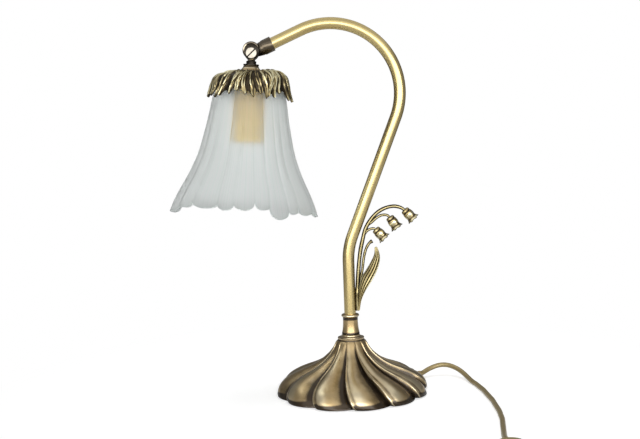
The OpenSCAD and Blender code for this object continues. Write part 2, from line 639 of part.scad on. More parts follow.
module bell_low() {
    bell(branch_low[len(branch_low) - 1], 43);
}

// ---------- knuckle ----------
cheek_gap = tongue_t / 2 + friction_t + 2 * fit;
cheek_out = clevis_r - 0.8;
module at_pivot() {
    translate([pivot_x, 0, pivot_z]) children();
}
module along_end() {
    at_pivot() rotate([0, 90 - drop, 0]) children();
}
module knuckle_socket() {
    tongue_r = clevis_r - 1.3;
    color([0.36, 0.28, 0.18]) along_end() difference() {
        union() {
            rotate([0, drop - 90, 0]) translate([0, 0, cheek_up]) rotate([90, 0, 0]) rotate_extrude() polygon([
                [0, -cheek_out], [clevis_r - 2.2, -cheek_out],
                [clevis_r - 0.7, -cheek_out + 0.7], [clevis_r, -cheek_out + 2.2], [clevis_r, cheek_out - 2.2],
                [clevis_r - 0.7, cheek_out - 0.7], [clevis_r - 2.2, cheek_out], [0, cheek_out]]);
            translate([0, 0, 6]) cylinder(r1 = clevis_r - 3, r2 = ferrule_d / 2 - 0.6, h = 6);
            translate([0, 0, 12]) cylinder(r = ferrule_d / 2 - 0.6, h = ferrule_l - 14);
            translate([0, 0, 14]) cylinder(r = ferrule_d / 2, h = ferrule_l - 14);
        }
        translate([0, 0, ferrule_over - seat]) cylinder(r = tube_r + fit, h = 30);
        cylinder(r = lead_r + 0.4, h = 30);
        translate([0, cheek_gap, 0]) rotate([90, 0, 0]) cylinder(r = tongue_r, h = 2 * cheek_gap);
        translate([-20, -cheek_gap, -20]) cube([40, 2 * cheek_gap, 25]);
        translate([0, 20, 0]) rotate([90, 0, 0]) cylinder(r = pivot_d / 2 + fit, h = 40);
    }
}
module pivot_screw() {
    color([0.85, 0.84, 0.80]) at_pivot() rotate([0, -43, 0]) rotate([90, 0, 0])
        translate([0, 0, cheek_out + seat]) screw(6, 2.4, pivot_d / 2, 2 * cheek_out + 5.5, 1.2);
}
module spring_washer() {
    color([0.5, 0.5, 0.5]) at_pivot() translate([0, cheek_out + seat + 1, 0]) rotate([90, 0, 0])
        ring_disc(4.8, pivot_d / 2 + fit, 1);
}
module pivot_nut() {
    color([0.7, 0.68, 0.6]) at_pivot() translate([0, cheek_out + 2 * seat + 4.6, 0]) rotate([90, 0, 0])
        hex_nut(9, pivot_d / 2 + fit, 3.6);
}
module friction_washers() {
    color([0.8, 0.78, 0.7]) at_pivot() for (s = [-1, 1])
        translate([0, s * (tongue_t / 2 + fit + friction_t / 2) + friction_t / 2, 0]) rotate([90, 0, 0])
            ring_disc(6.6, pivot_d / 2 + fit, friction_t);
}

// ---------- head ----------
module head() {
    at_pivot() rotate([0, head_lean, 0]) children();
}
neck_bar_r = 5.5;
module head_swivel() {
    disc_r = clevis_r - 1.3 - soft;
    color([0.40, 0.32, 0.20]) head() difference() {
        union() {
            translate([0, tongue_t / 2, 0]) rotate([90, 0, 0]) cylinder(r = disc_r, h = tongue_t);
            translate([-4, -tongue_t / 2, -shoulder_d - 1]) cube([8, tongue_t, shoulder_d + 1]);
            translate([0, 0, -flange_d]) cylinder(r = neck_bar_r, h = flange_d - shoulder_d);
            translate([0, 0, -cup_d]) cylinder(r = 8.5, h = cup_d - flange_d);
            translate([0, 0, -cup_d - 4]) cylinder(r = 6.5, h = 4);
        }
        translate([0, 10, 0]) rotate([90, 0, 0]) cylinder(r = pivot_d / 2 + fit, h = 20);
        translate([0, 0, -cup_d - 5]) cylinder(r = nipple_d / 2 + fit, h = 6.5);
        translate([0, 0, -cup_d - 5]) cylinder(r = 1.6, h = cup_d - 1);
    }
}
module head_nipple() {
    color([0.72, 0.68, 0.5]) head() translate([0, 0, -cap_d - 9])
        ring_disc(nipple_d / 2, nipple_bore_d / 2, cap_d + 9 - cup_d + 1.2);
}
module cone_cup() {
    color([0.60, 0.50, 0.32]) head() rotate_extrude() polygon([[6.5 + fit, -cup_d - seat], [8, -cup_d - seat],
        [9.2, -cup_d - 2], [cup_r - 0.8, -crown_d + 1.6], [cup_r, -crown_d + 1], [cup_r, -crown_d], [6.5 + fit, -crown_d]]);
}
// Crown: outer line from the seat of the cup over the hump and shoulder to the leaf tips
crown_line = [[cup_r, crown_plate], [cup_r + 1.4, crown_plate - 2.6], [19, crown_plate - 4.4],
    [26, crown_plate - 3.4], [33, crown_plate - 0.4], [crown_r, crown_plate + 4], [crown_r + 2.8, crown_plate + 11],
    [crown_r + 4.8, crown_plate + 19], [crown_r + 8.6, crown_plate + 29.5]];
crown_rows = 14;
// Each leaf has three narrow blades; a column of points runs along each blade and each groove
blades = leaves * 3;
long_blades = [0, 4, 9, 13, 17, 22, 29, 33];
function blade_reach(b) = let (k = (b + blades) % blades)
    (len(search(k, long_blades)) > 0 ? 1 : 0.93) + 0.03 * sin(97 * k);
function edge_reach(j) = let (b = floor(j / 2))
    j % 2 == 1 ? blade_reach(b) : 0.95 * min(blade_reach(b - 1), blade_reach(b));
// Height of blades over the cast skin: ridges stand up, grooves lie deeper between two leaves
function blade_height(j) = j % 2 == 1 ? 0.8 : j % 6 == 0 ? -0.7 : -0.4;
function crown_point(j, s, inset) = let (t = s * lerp(1, edge_reach(j), ease((s - 0.1) / 0.4)),
    p = curve(crown_line, t), g = unit(curve(crown_line, min(1, t + 0.01)) - curve(crown_line, max(0, t - 0.01))),
    rib = inset > 0 ? 0 : blade_height(j) * ease((s - 0.1) / 0.3),
    r = p[0] + (rib - inset) * g[1], d = p[1] - (rib - inset) * g[0], a = 180 * j / blades)
    [r * cos(a), r * sin(a), -d];
function crown_ring(s, inset) = [for (j = [0:2 * blades - 1]) crown_point(j, s, inset)];
function level_ring(r, d, n) = [for (j = [0:n - 1]) [r * cos(360 * j / n), r * sin(360 * j / n), -d]];
module leaf_crown() {
    n = 2 * blades;
    color([0.66, 0.55, 0.34]) head() skin(concat(
        [level_ring(nipple_d / 2 + 0.3, crown_plate + crown_t, n), level_ring(nipple_d / 2 + 0.3, crown_plate, n)],
        [for (i = [0:crown_rows]) crown_ring(i / crown_rows, 0)],
        [for (i = [8:-1:1]) crown_ring(i / 8, crown_t)],
        [level_ring(cup_r - 0.6, crown_plate + crown_t, n)]), looped = true, down = true);
}
module gasket(d) {
    translate([0, 0, -d - gasket_t]) ring_disc(cup_r - 0.4, nipple_d / 2 + fit, gasket_t);
}
module gasket_upper() {
    color([0.2, 0.2, 0.2]) head() gasket(gasket_d);
}
module gasket_lower() {
    color([0.2, 0.2, 0.2]) head() gasket(lower_gasket_d);
}
module carrier_washer() {
    color([0.6, 0.6, 0.6]) head() translate([0, 0, -carrier_d - carrier_t]) ring_disc(15, nipple_d / 2 + fit, carrier_t);
}
module head_nut() {
    color([0.7, 0.66, 0.5]) head() translate([0, 0, -head_nut_d - head_nut_t]) hex_nut(15, nipple_d / 2 + fit, head_nut_t);
}
// Glass: outer line from the flat neck over the shoulder to the flared mouth, as [radius, depth]
gl = glass_l / 152;
glass_line = [[8, 0], [17, 0], [25.5, 0.4], [31.5, 3.2], [35.4, 8.2], [37.8, 15], [39.8, 23], [41.4, 31], [42.8, 39],
    [44.2, 47], [46, 56], [48, 65], [50.6, 76.5], [54, 88], [58.6, 100], [glass_r - 17.6, 113], [glass_r - 10.4, 127],
    [glass_r - 4, 141], [glass_r, 152]];
flute_steps = 5;
glass_rows = 14;
glass_hole = nipple_d / 2 + 1;
// Flutes of the front, each as [angle of its edge, depth of the rim there, depth of its tip].
// Those of the back are evenly spaced between them.
front_flutes = [[174, 145, 151], [210, 146, 142.5], [226.5, 136.5, 141], [251.5, 136, 141.5], [265, 135, 140.5],
    [282, 131.5, 139.5], [294, 137.5, 149], [311, 141.5, 144], [322, 138, 146], [345, 143, 150]];
back_from = 369;
back_span = 165;
function flute_at(k) = let (f = len(front_flutes), n = k % flutes, whole = [360 * floor(k / flutes), 0, 0])
    n < f ? front_flutes[n] + whole
    : [back_from + back_span * (n - f) / (flutes - f), 136, 142 + 1.5 * sin(97 * n)] + whole;
function glass_angle(j) = let (k = floor(j / flute_steps))
    lerp(flute_at(k)[0], flute_at(k + 1)[0], (j % flute_steps) / flute_steps);
function glass_point(j, s, inset) = let (k = floor(j / flute_steps), u = (j % flute_steps) / flute_steps,
    a = glass_angle(j), p = curve(glass_line, s), q = curve(glass_line, max(0, s - 0.02)),
    g = unit(curve(glass_line, min(1, s + 0.01)) - q), fl = 1.6 * ease((s - 0.2) / 0.6) * (pow(sin(180 * u), 0.7) - 1),
    notch = lerp(flute_at(k)[1], flute_at(k + 1)[1], u),
    reach = notch + (flute_at(k)[2] - notch) * scallop / 7 * pow(sin(180 * u), 0.6),
    edge = ease((s - 0.72) / 0.28) * (reach - 152),
    r = p[0] + (fl - inset) * g[1] + edge * 0.36, d = (p[1] + edge) * gl + (inset - fl) * g[0])
    [r * cos(a), r * sin(a), -glass_d - d];
function glass_level(r, d) = [for (j = [0:flutes * flute_steps - 1])
    [r * cos(glass_angle(j)), r * sin(glass_angle(j)), -d]];
function glass_ring(s, inset) = [for (j = [0:flutes * flute_steps - 1]) glass_point(j, s, inset)];
module glass_shade() {
    color([0.88, 0.92, 0.90, 0.85]) head() skin(concat(
        [glass_level(glass_hole, glass_d + glass_wall), glass_level(glass_hole, glass_d)],
        [for (i = [1:glass_rows]) glass_ring(i / glass_rows, 0)],
        [for (i = [7:-1:1]) glass_ring(i / 7, glass_wall)],
        [glass_level(18, glass_d + glass_wall)]), looped = true, down = true);
}
module holder_cap() {
    hr = holder_d / 2;
    color([0.72, 0.55, 0.25]) head() translate([0, 0, -cap_d - cap_l]) difference() {
        rotate_extrude() polygon([[0, cap_l], [8, cap_l], [hr - 4, cap_l - 3], [hr - 1.2, cap_l - 7], [hr - 0.4, 3],
            [hr - 0.4, 0], [hr - 2.4, 0], [hr - 2.4, 4], [hr - 5.4, cap_l - 7], [9, cap_l - 6], [0, cap_l - 6]]);
        translate([0, 0, -1]) cylinder(r = nipple_d / 2 + fit, h = cap_l + 2);
    }
}
module holder_skirt() {
    hr = holder_d / 2;
    color([0.72, 0.55, 0.25]) head() translate([0, 0, -skirt_d - skirt_l]) difference() {
        cylinder(r = hr, h = skirt_l);
        translate([0, 0, 2]) cylinder(r = hr - 2, h = skirt_l);
        translate([0, 0, -1]) cylinder(r = socket_d / 2 + 1.2, h = 5);
    }
}
module holder_core() {
    color([0.92, 0.90, 0.84]) head() translate([0, 0, -skirt_d - core_l]) difference() {
        cylinder(r = holder_d / 2 - 2 - fit, h = core_l);
        translate([0, 0, -1]) cylinder(r = 11, h = 4.5);
        for (s = [-1, 1]) translate([s * 9, 0, 6]) cylinder(r = 2.6, h = 10);
        translate([0, 0, -1]) cylinder(r = 1.5 + fit, h = core_l + 2);
    }
}
module screw_shell() {
    color([0.85, 0.72, 0.38]) head() translate([0, 0, -skirt_d - core_l - seat - socket_l])
        ring_disc(socket_d / 2 + 0.6, socket_d / 2, socket_l);
}
module centre_contact() {
    color([0.85, 0.72, 0.38]) head() translate([0, 0, -skirt_d - core_l]) union() {
        cylinder(r = 1.5, h = core_l - 1);
        translate([-8, -3, 2.2]) cube([16, 6, 0.8]);
    }
}
module holder_terminals() {
    color([0.8, 0.7, 0.4]) head() for (s = [-1, 1])
        translate([s * 9, 0, -skirt_d - 7 + seat]) cylinder(r = 2.5, h = 5);
}
module head_lead() {
    color([0.85, 0.83, 0.78]) head() translate([0, 0, -cap_d - 12])
        cylinder(r = 1.5, h = cap_d + 12 - cup_d + 7);
}

felt_pad();
base_plate();
plate_screws();
base_weight();
base_shell();
tie_rod();
tie_nut();
tie_washer();
neck_ring();
column_collar();
tube_insert();
arm_tube();
base_lead();
arm_lead();
cord_clamp();
clamp_screw();
earth_screw();
strain_relief();
cord_near();
switch_lower();
switch_upper();
switch_screws();
switch_rocker();
cord_far();
cord_coil();
coil_tie();
cord_tail();
plug_body();
plug_pins();
sprig_stem();
sprig_branches();
sprig_leaf();
sprig_bud();
bell_high();
bell_middle();
bell_low();
knuckle_socket();
pivot_screw();
pivot_nut();
spring_washer();
friction_washers();
head_swivel();
head_nipple();
cone_cup();
leaf_crown();
gasket_upper();
glass_shade();
gasket_lower();
carrier_washer();
head_nut();
holder_cap();
holder_skirt();
holder_core();
screw_shell();
centre_contact();
holder_terminals();
head_lead();
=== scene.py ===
"""Looks of the tulip shade table lamp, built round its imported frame. Shapes are in millimetres until
surface() puts them into a mesh in metres. +Z is up the column and the front of the lamp faces -Y."""
import json
import math

import bmesh
import bpy
import numpy as np
from mathutils import Matrix, Vector


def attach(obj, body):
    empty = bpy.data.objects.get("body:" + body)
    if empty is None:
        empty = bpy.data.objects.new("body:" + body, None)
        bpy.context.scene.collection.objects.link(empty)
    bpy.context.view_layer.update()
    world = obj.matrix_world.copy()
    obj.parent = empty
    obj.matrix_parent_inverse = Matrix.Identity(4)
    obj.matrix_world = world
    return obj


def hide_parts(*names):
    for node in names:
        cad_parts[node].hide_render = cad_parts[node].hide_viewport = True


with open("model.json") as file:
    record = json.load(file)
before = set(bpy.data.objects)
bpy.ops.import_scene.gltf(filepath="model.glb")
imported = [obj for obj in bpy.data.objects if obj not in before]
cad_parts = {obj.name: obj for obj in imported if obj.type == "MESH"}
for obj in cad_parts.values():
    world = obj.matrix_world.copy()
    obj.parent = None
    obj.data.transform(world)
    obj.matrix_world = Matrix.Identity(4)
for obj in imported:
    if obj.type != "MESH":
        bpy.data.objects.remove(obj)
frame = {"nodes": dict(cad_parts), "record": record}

MM = 0.001
TAU = 2 * math.pi
join = np.concatenate
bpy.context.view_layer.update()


# ---------- numbers and curves ----------
def lerp(a, b, t):
    """From a at t = 0 to b at t = 1."""
    return a + (b - a) * t


def ease(t):
    """Smooth step: 3t^2 - 2t^3 between 0 and 1, flat outside."""
    u = np.clip(t, 0, 1)
    return u * u * (3 - 2 * u)


def bump(x, width):
    """Bell of height 1 at 0: exp(-(x / width)^2)."""
    return np.exp(-((x / width) ** 2))


def unit(v):
    """Vectors at length 1."""
    return v / np.linalg.norm(v, axis=-1, keepdims=True)


def circle(columns):
    """Angles of the columns round a piece, as one row."""
    return np.linspace(0, TAU, columns, endpoint=False)[None, :]


def polar(r, a, z):
    """Points at radius r, angle a and height z."""
    return np.stack(np.broadcast_arrays(r * np.cos(a), r * np.sin(a), z), -1)


def tilted(points, angle):
    """Points turned about Y by the angle, from +Z towards -X."""
    c, s = math.cos(angle), math.sin(angle)
    x, y, z = points[..., 0], points[..., 1], points[..., 2]
    return np.stack([x * c - z * s, y, x * s + z * c], -1)


def curve(points, t):
    """Smooth line through the points at t from 0 to 1: each span is the cubic whose slope at a point
    is half the step between that point's neighbours."""
    p = np.asarray(points, float)
    spans = len(p) - 1
    t = np.asarray(t, float)
    i = np.clip(np.floor(t * spans), 0, spans - 1).astype(int)
    u = (t * spans - i)[..., None]
    a, b, c, d = p[np.maximum(i - 1, 0)], p[i], p[i + 1], p[np.minimum(i + 2, spans)]
    return 0.5 * (2 * b + (c - a) * u + (2 * a - 5 * b + 4 * c - d) * u**2 + (3 * b - a - 3 * c + d) * u**3)


def slope(points, t, step=0.01):
    """Unit direction of curve() at t."""
    return unit(curve(points, np.minimum(1, t + step)) - curve(points, np.maximum(0, t - step)))


def eased_outline(outline, radius, steps=4):
    """Closed outline with each corner cut round: a quadratic through the corner, from radius before it
    to radius after it, or nearly half the side where that is shorter."""
    p = np.asarray(outline, float)
    before, after = np.roll(p, 1, 0) - p, np.roll(p, -1, 0) - p
    before *= np.minimum(0.48, radius / np.linalg.norm(before, axis=1, keepdims=True))
    after *= np.minimum(0.48, radius / np.linalg.norm(after, axis=1, keepdims=True))
    t = np.linspace(0, 1, steps + 1)[None, :, None]
    arc = p[:, None] + before[:, None] * (1 - t) ** 2 + after[:, None] * t**2
    return arc.reshape(-1, 2)


# ---------- grids to meshes ----------
def turned(outline, columns=96):
    """Outline of [radius, height] turned about Z: rings of radius times cos and sin of the angle."""
    outline = np.asarray(outline, float)
    return polar(outline[:, :1], circle(columns), outline[:, 1:2])


def tube(path, radius, columns=24, up=(0, 0, 1)):
    """Round tube along a path: each ring is centre + radius (side cos a + top sin a), square to it."""
    path = np.asarray(path, float)
    radius = np.broadcast_to(radius, len(path))[:, None, None]
    along = unit(np.gradient(path, axis=0))
    side = unit(np.cross(along, np.asarray(up, float)))
    top = np.cross(side, along)
    a = circle(columns)[..., None]
    return path[:, None] + radius * (side[:, None] * np.cos(a) + top[:, None] * np.sin(a))


def surface(name, rings, loop=False, sharp=38, size=(1, 1), **marks):
    """Closed mesh over rings of points (rows, columns, 3). Rings close on themselves; the last ring joins
    the first one with loop, and otherwise a fan closes each end. The UV map "way" holds the place round
    and along, times size in metres. Marks are values for each point, kept as attributes."""
    rows, columns = rings.shape[:2]
    i, j = np.meshgrid(np.arange(rows if loop else rows - 1), np.arange(columns), indexing="ij")
    i, j = i.ravel(), j.ravel()
    beside = (j + 1) % columns
    here, there = i * columns, (i + 1) % rows * columns
    faces = np.stack([here + j, here + beside, there + beside, there + j], 1)
    around = np.stack([j, j + 1, j + 1, j], 1) / columns
    along = np.stack([i, i, i + 1, i + 1], 1) / max(1, rows - 1)
    points = rings.reshape(-1, 3)
    values = {key: np.broadcast_to(value, (rows, columns)).ravel() for key, value in marks.items()}
    if not loop:
        ends = rings[[0, -1]].mean(axis=1)
        k = np.arange(columns)
        after = (k + 1) % columns
        n, last = rows * columns, (rows - 1) * columns
        first_fan = np.stack([0 * k + n, after, k, k], 1)
        last_fan = np.stack([0 * k + n + 1, last + k, last + after, last + after], 1)
        faces = join([faces, first_fan, last_fan])
        around = join([around] + 2 * [np.stack([k, k + 1, k, k], 1) / columns])
        along = join([along, np.zeros((columns, 4)), np.ones((columns, 4))])
        points = join([points, ends])
        for key, v in values.items():
            values[key] = join([v, [v[:columns].mean(), v[-columns:].mean()]])
    p, q, r, s = np.moveaxis(points[faces], 1, 0)
    volume = np.einsum("ij,ij->", p, np.cross(q, r)) + np.einsum("ij,ij->", p, np.cross(r, s))
    if volume < 0:
        faces, around, along = faces[:, ::-1], around[:, ::-1], along[:, ::-1]
    keep = np.ones_like(faces, bool)
    keep[:, 3] = faces[:, 2] != faces[:, 3]
    keep[:, 0] = faces[:, 0] != faces[:, 1]
    mesh = bpy.data.meshes.new(name)
    totals = keep.sum(1)
    mesh.vertices.add(len(points))
    mesh.loops.add(int(totals.sum()))
    mesh.polygons.add(len(faces))
    mesh.vertices.foreach_set("co", (points * MM).ravel().astype(np.float32))
    mesh.loops.foreach_set("vertex_index", faces[keep].astype(np.int32))
    mesh.polygons.foreach_set("loop_start", join([[0], totals.cumsum()[:-1]]).astype(np.int32))
    way = mesh.uv_layers.new(name="way")
    place = np.stack([around[keep] * size[0], along[keep] * size[1]], 1)
    way.data.foreach_set("uv", place.ravel().astype(np.float32))
    for key, value in values.items():
        mesh.attributes.new(key, "FLOAT", "POINT").data.foreach_set("value", value.astype(np.float32))
    mesh.update(calc_edges=True)
    mesh.validate()
    mesh.polygons.foreach_set("use_smooth", np.ones(len(mesh.polygons), bool))
    mesh.set_sharp_from_angle(angle=math.radians(sharp))
    return mesh


def placed(name, data):
    """Puts the data into the scene as an object."""
    made = bpy.data.objects.new(name, data)
    bpy.context.scene.collection.objects.link(made)
    return made


def piece(name, mesh, body, slot, *nodes):
    """Puts the mesh into the scene as a piece that rides on the body and stands for the CAD nodes."""
    made = placed(name, mesh)
    mesh.materials.clear()
    mesh.materials.append(finishes[slot])
    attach(made, body)
    if nodes:
        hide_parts(*nodes)
    return made


def shaped(name, rings, nodes, body="stand", slot="antique_brass", **look):
    """Piece over rings of points, with the options and marks of surface()."""
    return piece(name, surface(name, rings, **look), body, slot, *nodes)


def softened(node, width, body="stand", hollow=None):
    """Copy of a CAD node with its loose triangles merged and its corners rounded by width. The last argument,
    where given, works out the dark mark, patina and painted shade, from the points in millimetres."""
    mesh = frame["nodes"][node].data.copy()
    work = bmesh.new()
    work.from_mesh(mesh)
    bmesh.ops.remove_doubles(work, verts=work.verts, dist=2e-6)
    bmesh.ops.dissolve_limit(work, angle_limit=math.radians(1.2), verts=work.verts, edges=work.edges)
    work.to_mesh(mesh)
    work.free()
    mesh.polygons.foreach_set("use_smooth", np.ones(len(mesh.polygons), bool))
    if hollow:
        points = np.empty(3 * len(mesh.vertices), np.float32)
        mesh.vertices.foreach_get("co", points)
        value = hollow(points.reshape(-1, 3) / MM).astype(np.float32)
        mesh.attributes.new("hollow", "FLOAT", "POINT").data.foreach_set("value", value)
    made = piece(node + "_softened", mesh, body, slots[node], node)
    rounding = made.modifiers.new("rounding", "BEVEL")
    rounding.width, rounding.segments = width * MM, 3
    rounding.limit_method, rounding.angle_limit = "ANGLE", math.radians(28)
    rounding.harden_normals = True
    return made


# ---------- shader nodes ----------
class Wire:
    """An output socket. Its operators add the Math nodes that work the value out."""

    def __init__(self, sheet, socket):
        self.sheet, self.socket = sheet, socket

    def maths(self, operation, *values):
        """Adds one Math node over the values."""
        return self.sheet.node("Math", {"operation": operation}, dict(enumerate(values)))

    def __add__(self, other):
        return self.maths("ADD", self, other)

    def __radd__(self, other):
        return self.maths("ADD", other, self)

    def __sub__(self, other):
        return self.maths("SUBTRACT", self, other)

    def __rsub__(self, other):
        return self.maths("SUBTRACT", other, self)

    def __mul__(self, other):
        return self.maths("MULTIPLY", self, other)

    def wave(self):
        """Sine of the value."""
        return self.maths("SINE", self)

    def most(self, other):
        """The greater of the two values."""
        return self.maths("MAXIMUM", self, other)

    def between(self, low, high):
        """Smooth step of the value: 0 at low, 1 at high."""
        smooth = {"interpolation_type": "SMOOTHSTEP"}
        return self.sheet.node("MapRange", smooth, {0: self, 1: low, 2: high})


class Sheet:
    """A node tree that is filled by expressions."""

    def __init__(self, tree):
        self.tree = tree
        tree.nodes.clear()

    def node(self, kind, settings, sockets, out=0):
        """Adds one node: its settings first, then the value or link of each socket. Gives output out."""
        made = self.tree.nodes.new("ShaderNode" + kind)
        for key, value in settings.items():
            setattr(made, key, value)
        for key, value in sockets.items():
            self.feed(made.inputs[key], value)
        return Wire(self, made.outputs[out])

    def feed(self, socket, value):
        """Links a wire to the socket, or sets a constant on it."""
        if isinstance(value, Wire):
            self.tree.links.new(value.socket, socket)
        else:
            socket.default_value = value

    def mix(self, factor, a, b, blend="MIX"):
        """Colour a turned into b by factor."""
        a, b = (c if isinstance(c, Wire) else (*c, 1) for c in (a, b))
        kind = {"data_type": "RGBA", "blend_type": blend}
        return self.node("Mix", kind, {0: factor, 6: a, 7: b}, 2)

    def place(self):
        """Object coordinates, in metres."""
        return self.node("TexCoord", {}, {}, "Object")

    def flat(self):
        """Place round and along a piece, from its own UV map."""
        return self.node("UVMap", {"uv_map": "way"}, {})

    def way(self, axis):
        """Place round (0) or along (1) a piece."""
        return self.node("SeparateXYZ", {}, {0: self.flat()}, axis)

    def mark(self, name):
        """Value of a piece's own attribute, 0 where it has none."""
        return self.node("Attribute", {"attribute_name": name}, {}, "Fac")

    def noise(self, scale, detail=2.0, stretch=(1, 1, 1), vector=None):
        """Noise from 0 to 1 with scale cells to a metre."""
        at = self.node("Mapping", {}, {"Vector": vector or self.place(), "Scale": stretch})
        return self.node("TexNoise", {}, {"Vector": at, "Scale": scale, "Detail": detail})

    def relief(self, height, distance, strength=1.0):
        """Bumped normal: the height from 0 to 1 stands for distance in metres."""
        return self.node("Bump", {}, {"Strength": strength, "Distance": distance, "Height": height})


class Finish(Sheet):
    """A material with one Principled shader."""

    def __init__(self, name, **constants):
        self.material = bpy.data.materials.new(name)
        self.material.use_nodes = True
        super().__init__(self.material.node_tree)
        self.shader = self.tree.nodes.new("ShaderNodeBsdfPrincipled")
        output = self.tree.nodes.new("ShaderNodeOutputMaterial")
        self.tree.links.new(self.shader.outputs[0], output.inputs["Surface"])
        self.set(**constants)

    def set(self, **sockets):
        """Feeds the shader's sockets; an underscore stands for a space in a socket's name."""
        for key, value in sockets.items():
            plain = isinstance(value, tuple) and len(value) == 3 and "color" in key
            socket = key.replace("_", " ").title().replace("Ior", "IOR")
            self.feed(self.shader.inputs[socket], (*value, 1) if plain else value)


def cast_brass(name, bright_tone, body, dark_tone, roughness=0.3, coat=0.6):
    """Cast brass under a clear lacquer. It is dark in soft clouds and where a piece marks dark: patina in
    real hollows, and painted shade in recesses, under things and on shaded sides. It is paler where a piece
    marks a crest, which is a painted highlight, and bright where a piece marks an edge: worn edges, and
    painted highlights on some pieces. The mark olive dulls it and takes its lacquer off."""
    f = Finish(name, metallic=1.0, coat_roughness=0.1)
    hollow, edge, olive = f.mark("hollow"), f.mark("edge"), f.mark("olive")
    clouds, patches, fine = f.noise(26, 3), f.noise(75, 4), f.noise(900, 3)
    # dark: patina in hollows, plus painted shade where a piece's dark mark stands for shade
    dark = hollow * 1.3 + (clouds - 0.5) * 0.5 + (patches - 0.5) * 0.45 + (fine - 0.5) * 0.2
    dark = dark.between(0.1, 0.85)
    bright = (edge * 1.1 + (fine - 0.5) * 0.4).between(0.35, 0.9)
    colour = f.mix(patches.between(0.3, 0.7), body, tuple(c * k for c, k in zip(body, (0.80, 0.76, 0.68))))
    # painted highlight: the bright tone laid along marked crests
    colour = f.mix(f.mark("pale"), colour, bright_tone)
    colour = f.mix(dark, colour, dark_tone)
    # bright: worn edges, plus painted highlights where a piece's edge mark stands for light
    colour = f.mix(bright * (1 - dark * 0.4), colour, bright_tone)
    colour = f.mix(olive, colour, (0.80, 0.90, 0.87), "MULTIPLY")
    f.set(base_color=colour, coat_weight=coat - olive * coat * 0.85)
    f.set(roughness=roughness + dark * 0.16 - bright * 0.06 + (patches - 0.5) * 0.08)
    f.set(normal=f.relief(fine * 0.5 + patches * 0.5, 0.0002, 0.5))
    return f.material


def satin_brass():
    """Drawn tube: fine brushing along it, faint handling marks."""
    f = Finish("satin_brass", metallic=1.0)
    brushing = f.noise(1400, 2, (1, 0.02, 1), f.flat())
    cloud = f.noise(45, 3)
    colour = f.mix(cloud.between(0.3, 0.75), (0.75, 0.60, 0.285), (0.68, 0.54, 0.245))
    colour = f.mix(brushing.between(0.55, 0.85) * 0.06, colour, (0.40, 0.29, 0.12))
    f.set(base_color=colour, roughness=0.24 + cloud * 0.05)
    return f.material


def plain_metal(name, colour, roughness, grain=0.00002):
    """Machined metal with turning marks and slight tarnish, painted nearly black where a piece marks dark, as
    in the screw's slot (painted shade).
    """
    f = Finish(name, metallic=1.0)
    cloud, fine = f.noise(160, 3), f.noise(2200, 2)
    tarnished = f.mix(cloud.between(0.35, 0.8), colour, tuple(c * 0.72 for c in colour))
    # painted shade: nearly black where a piece marks dark, as in the screw's slot
    f.set(base_color=f.mix(f.mark("hollow").between(0.3, 0.9), tarnished, tuple(c * 0.07 for c in colour)))
    f.set(roughness=roughness + (cloud - 0.5) * 0.12 + fine * 0.05, normal=f.relief(fine, grain))
    return f.material


def frosted_glass():
    """Acid-frosted glass: rough all through, finely grained, with faint milky streaks down the flutes and a
    denser rim, and painted shade in the creases between the flutes. Its weak emission stands for light that
    the walls scatter."""
    f = Finish("frosted_glass", ior=1.45, transmission_weight=0.94, emission_strength=0.027,
        emission_color=(0.94, 1.0, 0.97, 1))
    rim, seam, fine = f.mark("rim"), f.mark("seam"), f.noise(1500, 2)
    streaks = f.noise(260, 3, (1, 0.006, 1), f.flat())
    colour = f.mix(streaks.between(0.35, 0.65), (0.86, 0.895, 0.882), (0.985, 1.0, 0.996))
    # painted shade in the creases between the flutes
    colour = f.mix(seam * 0.36, colour, (0.66, 0.72, 0.70))
    colour = f.mix(rim.between(0.3, 1.0) * 0.8, colour, (0.74, 0.79, 0.77))
    f.set(base_color=colour, roughness=0.30 + fine * 0.05)
    return f.material


def moulded(name, colour, roughness=0.42, metallic=0.0, coat=0.0, grain=0.00004, scale=900):
    """Moulded plastic or rubber with a fine grain and slight flow marks."""
    f = Finish(name, metallic=metallic, coat_roughness=0.2)
    flow, fine = f.noise(30, 3), f.noise(scale, 2)
    f.set(base_color=f.mix(flow.between(0.3, 0.75), colour, tuple(c * 0.85 for c in colour)))
    f.set(roughness=roughness + (fine - 0.5) * 0.12, normal=f.relief(fine, grain))
    f.set(coat_weight=coat)
    return f.material


def amber_plastic():
    """Translucent amber sleeve: deep amber in the upper half, paler towards its open end."""
    f = Finish("holder_plastic", coat_weight=0.2)
    flow, fine = f.noise(30, 3), f.noise(900, 2)
    high = f.node("SeparateXYZ", {}, {0: f.place()}, "Z")
    deep = (high + (flow - 0.5) * 0.008).between(0.27, 0.335)
    f.set(base_color=f.mix(deep, (0.70, 0.48, 0.11), (0.61, 0.37, 0.035)))
    f.set(roughness=0.4 + (fine - 0.5) * 0.1, normal=f.relief(fine, 0.00004))
    return f.material


def gold_cord():
    """Gold round cord: a clear skin over fine gold strands that wind round it."""
    f = Finish("gold_cord", metallic=0.55, coat_roughness=0.15)
    turn = f.way(0) * TAU * 14 + f.way(1) * 6000
    strand = turn.wave() * 0.5 + 0.5
    cloud = f.noise(120, 2)
    colour = f.mix(strand.between(0.0, 0.6), (0.34, 0.255, 0.11), (0.47, 0.37, 0.175))
    colour = f.mix(cloud.between(0.4, 0.8) * 0.25, colour, (0.39, 0.30, 0.135))
    f.set(base_color=colour, roughness=0.33 + cloud * 0.06, coat_weight=0.5)
    f.set(normal=f.relief(strand, 0.00005, 0.4))
    return f.material


def felt():
    """Pressed felt: matted fibres that stand up all over."""
    f = Finish("felt", roughness=0.95, sheen_weight=0.3, sheen_roughness=0.5)
    fibres = f.noise(1400, 6, (1, 1.8, 1))
    f.set(base_color=f.mix(fibres.between(0.3, 0.75), (0.035, 0.07, 0.045), (0.10, 0.17, 0.115)))
    f.set(normal=f.relief(fibres, 0.0004, 0.8))
    return f.material


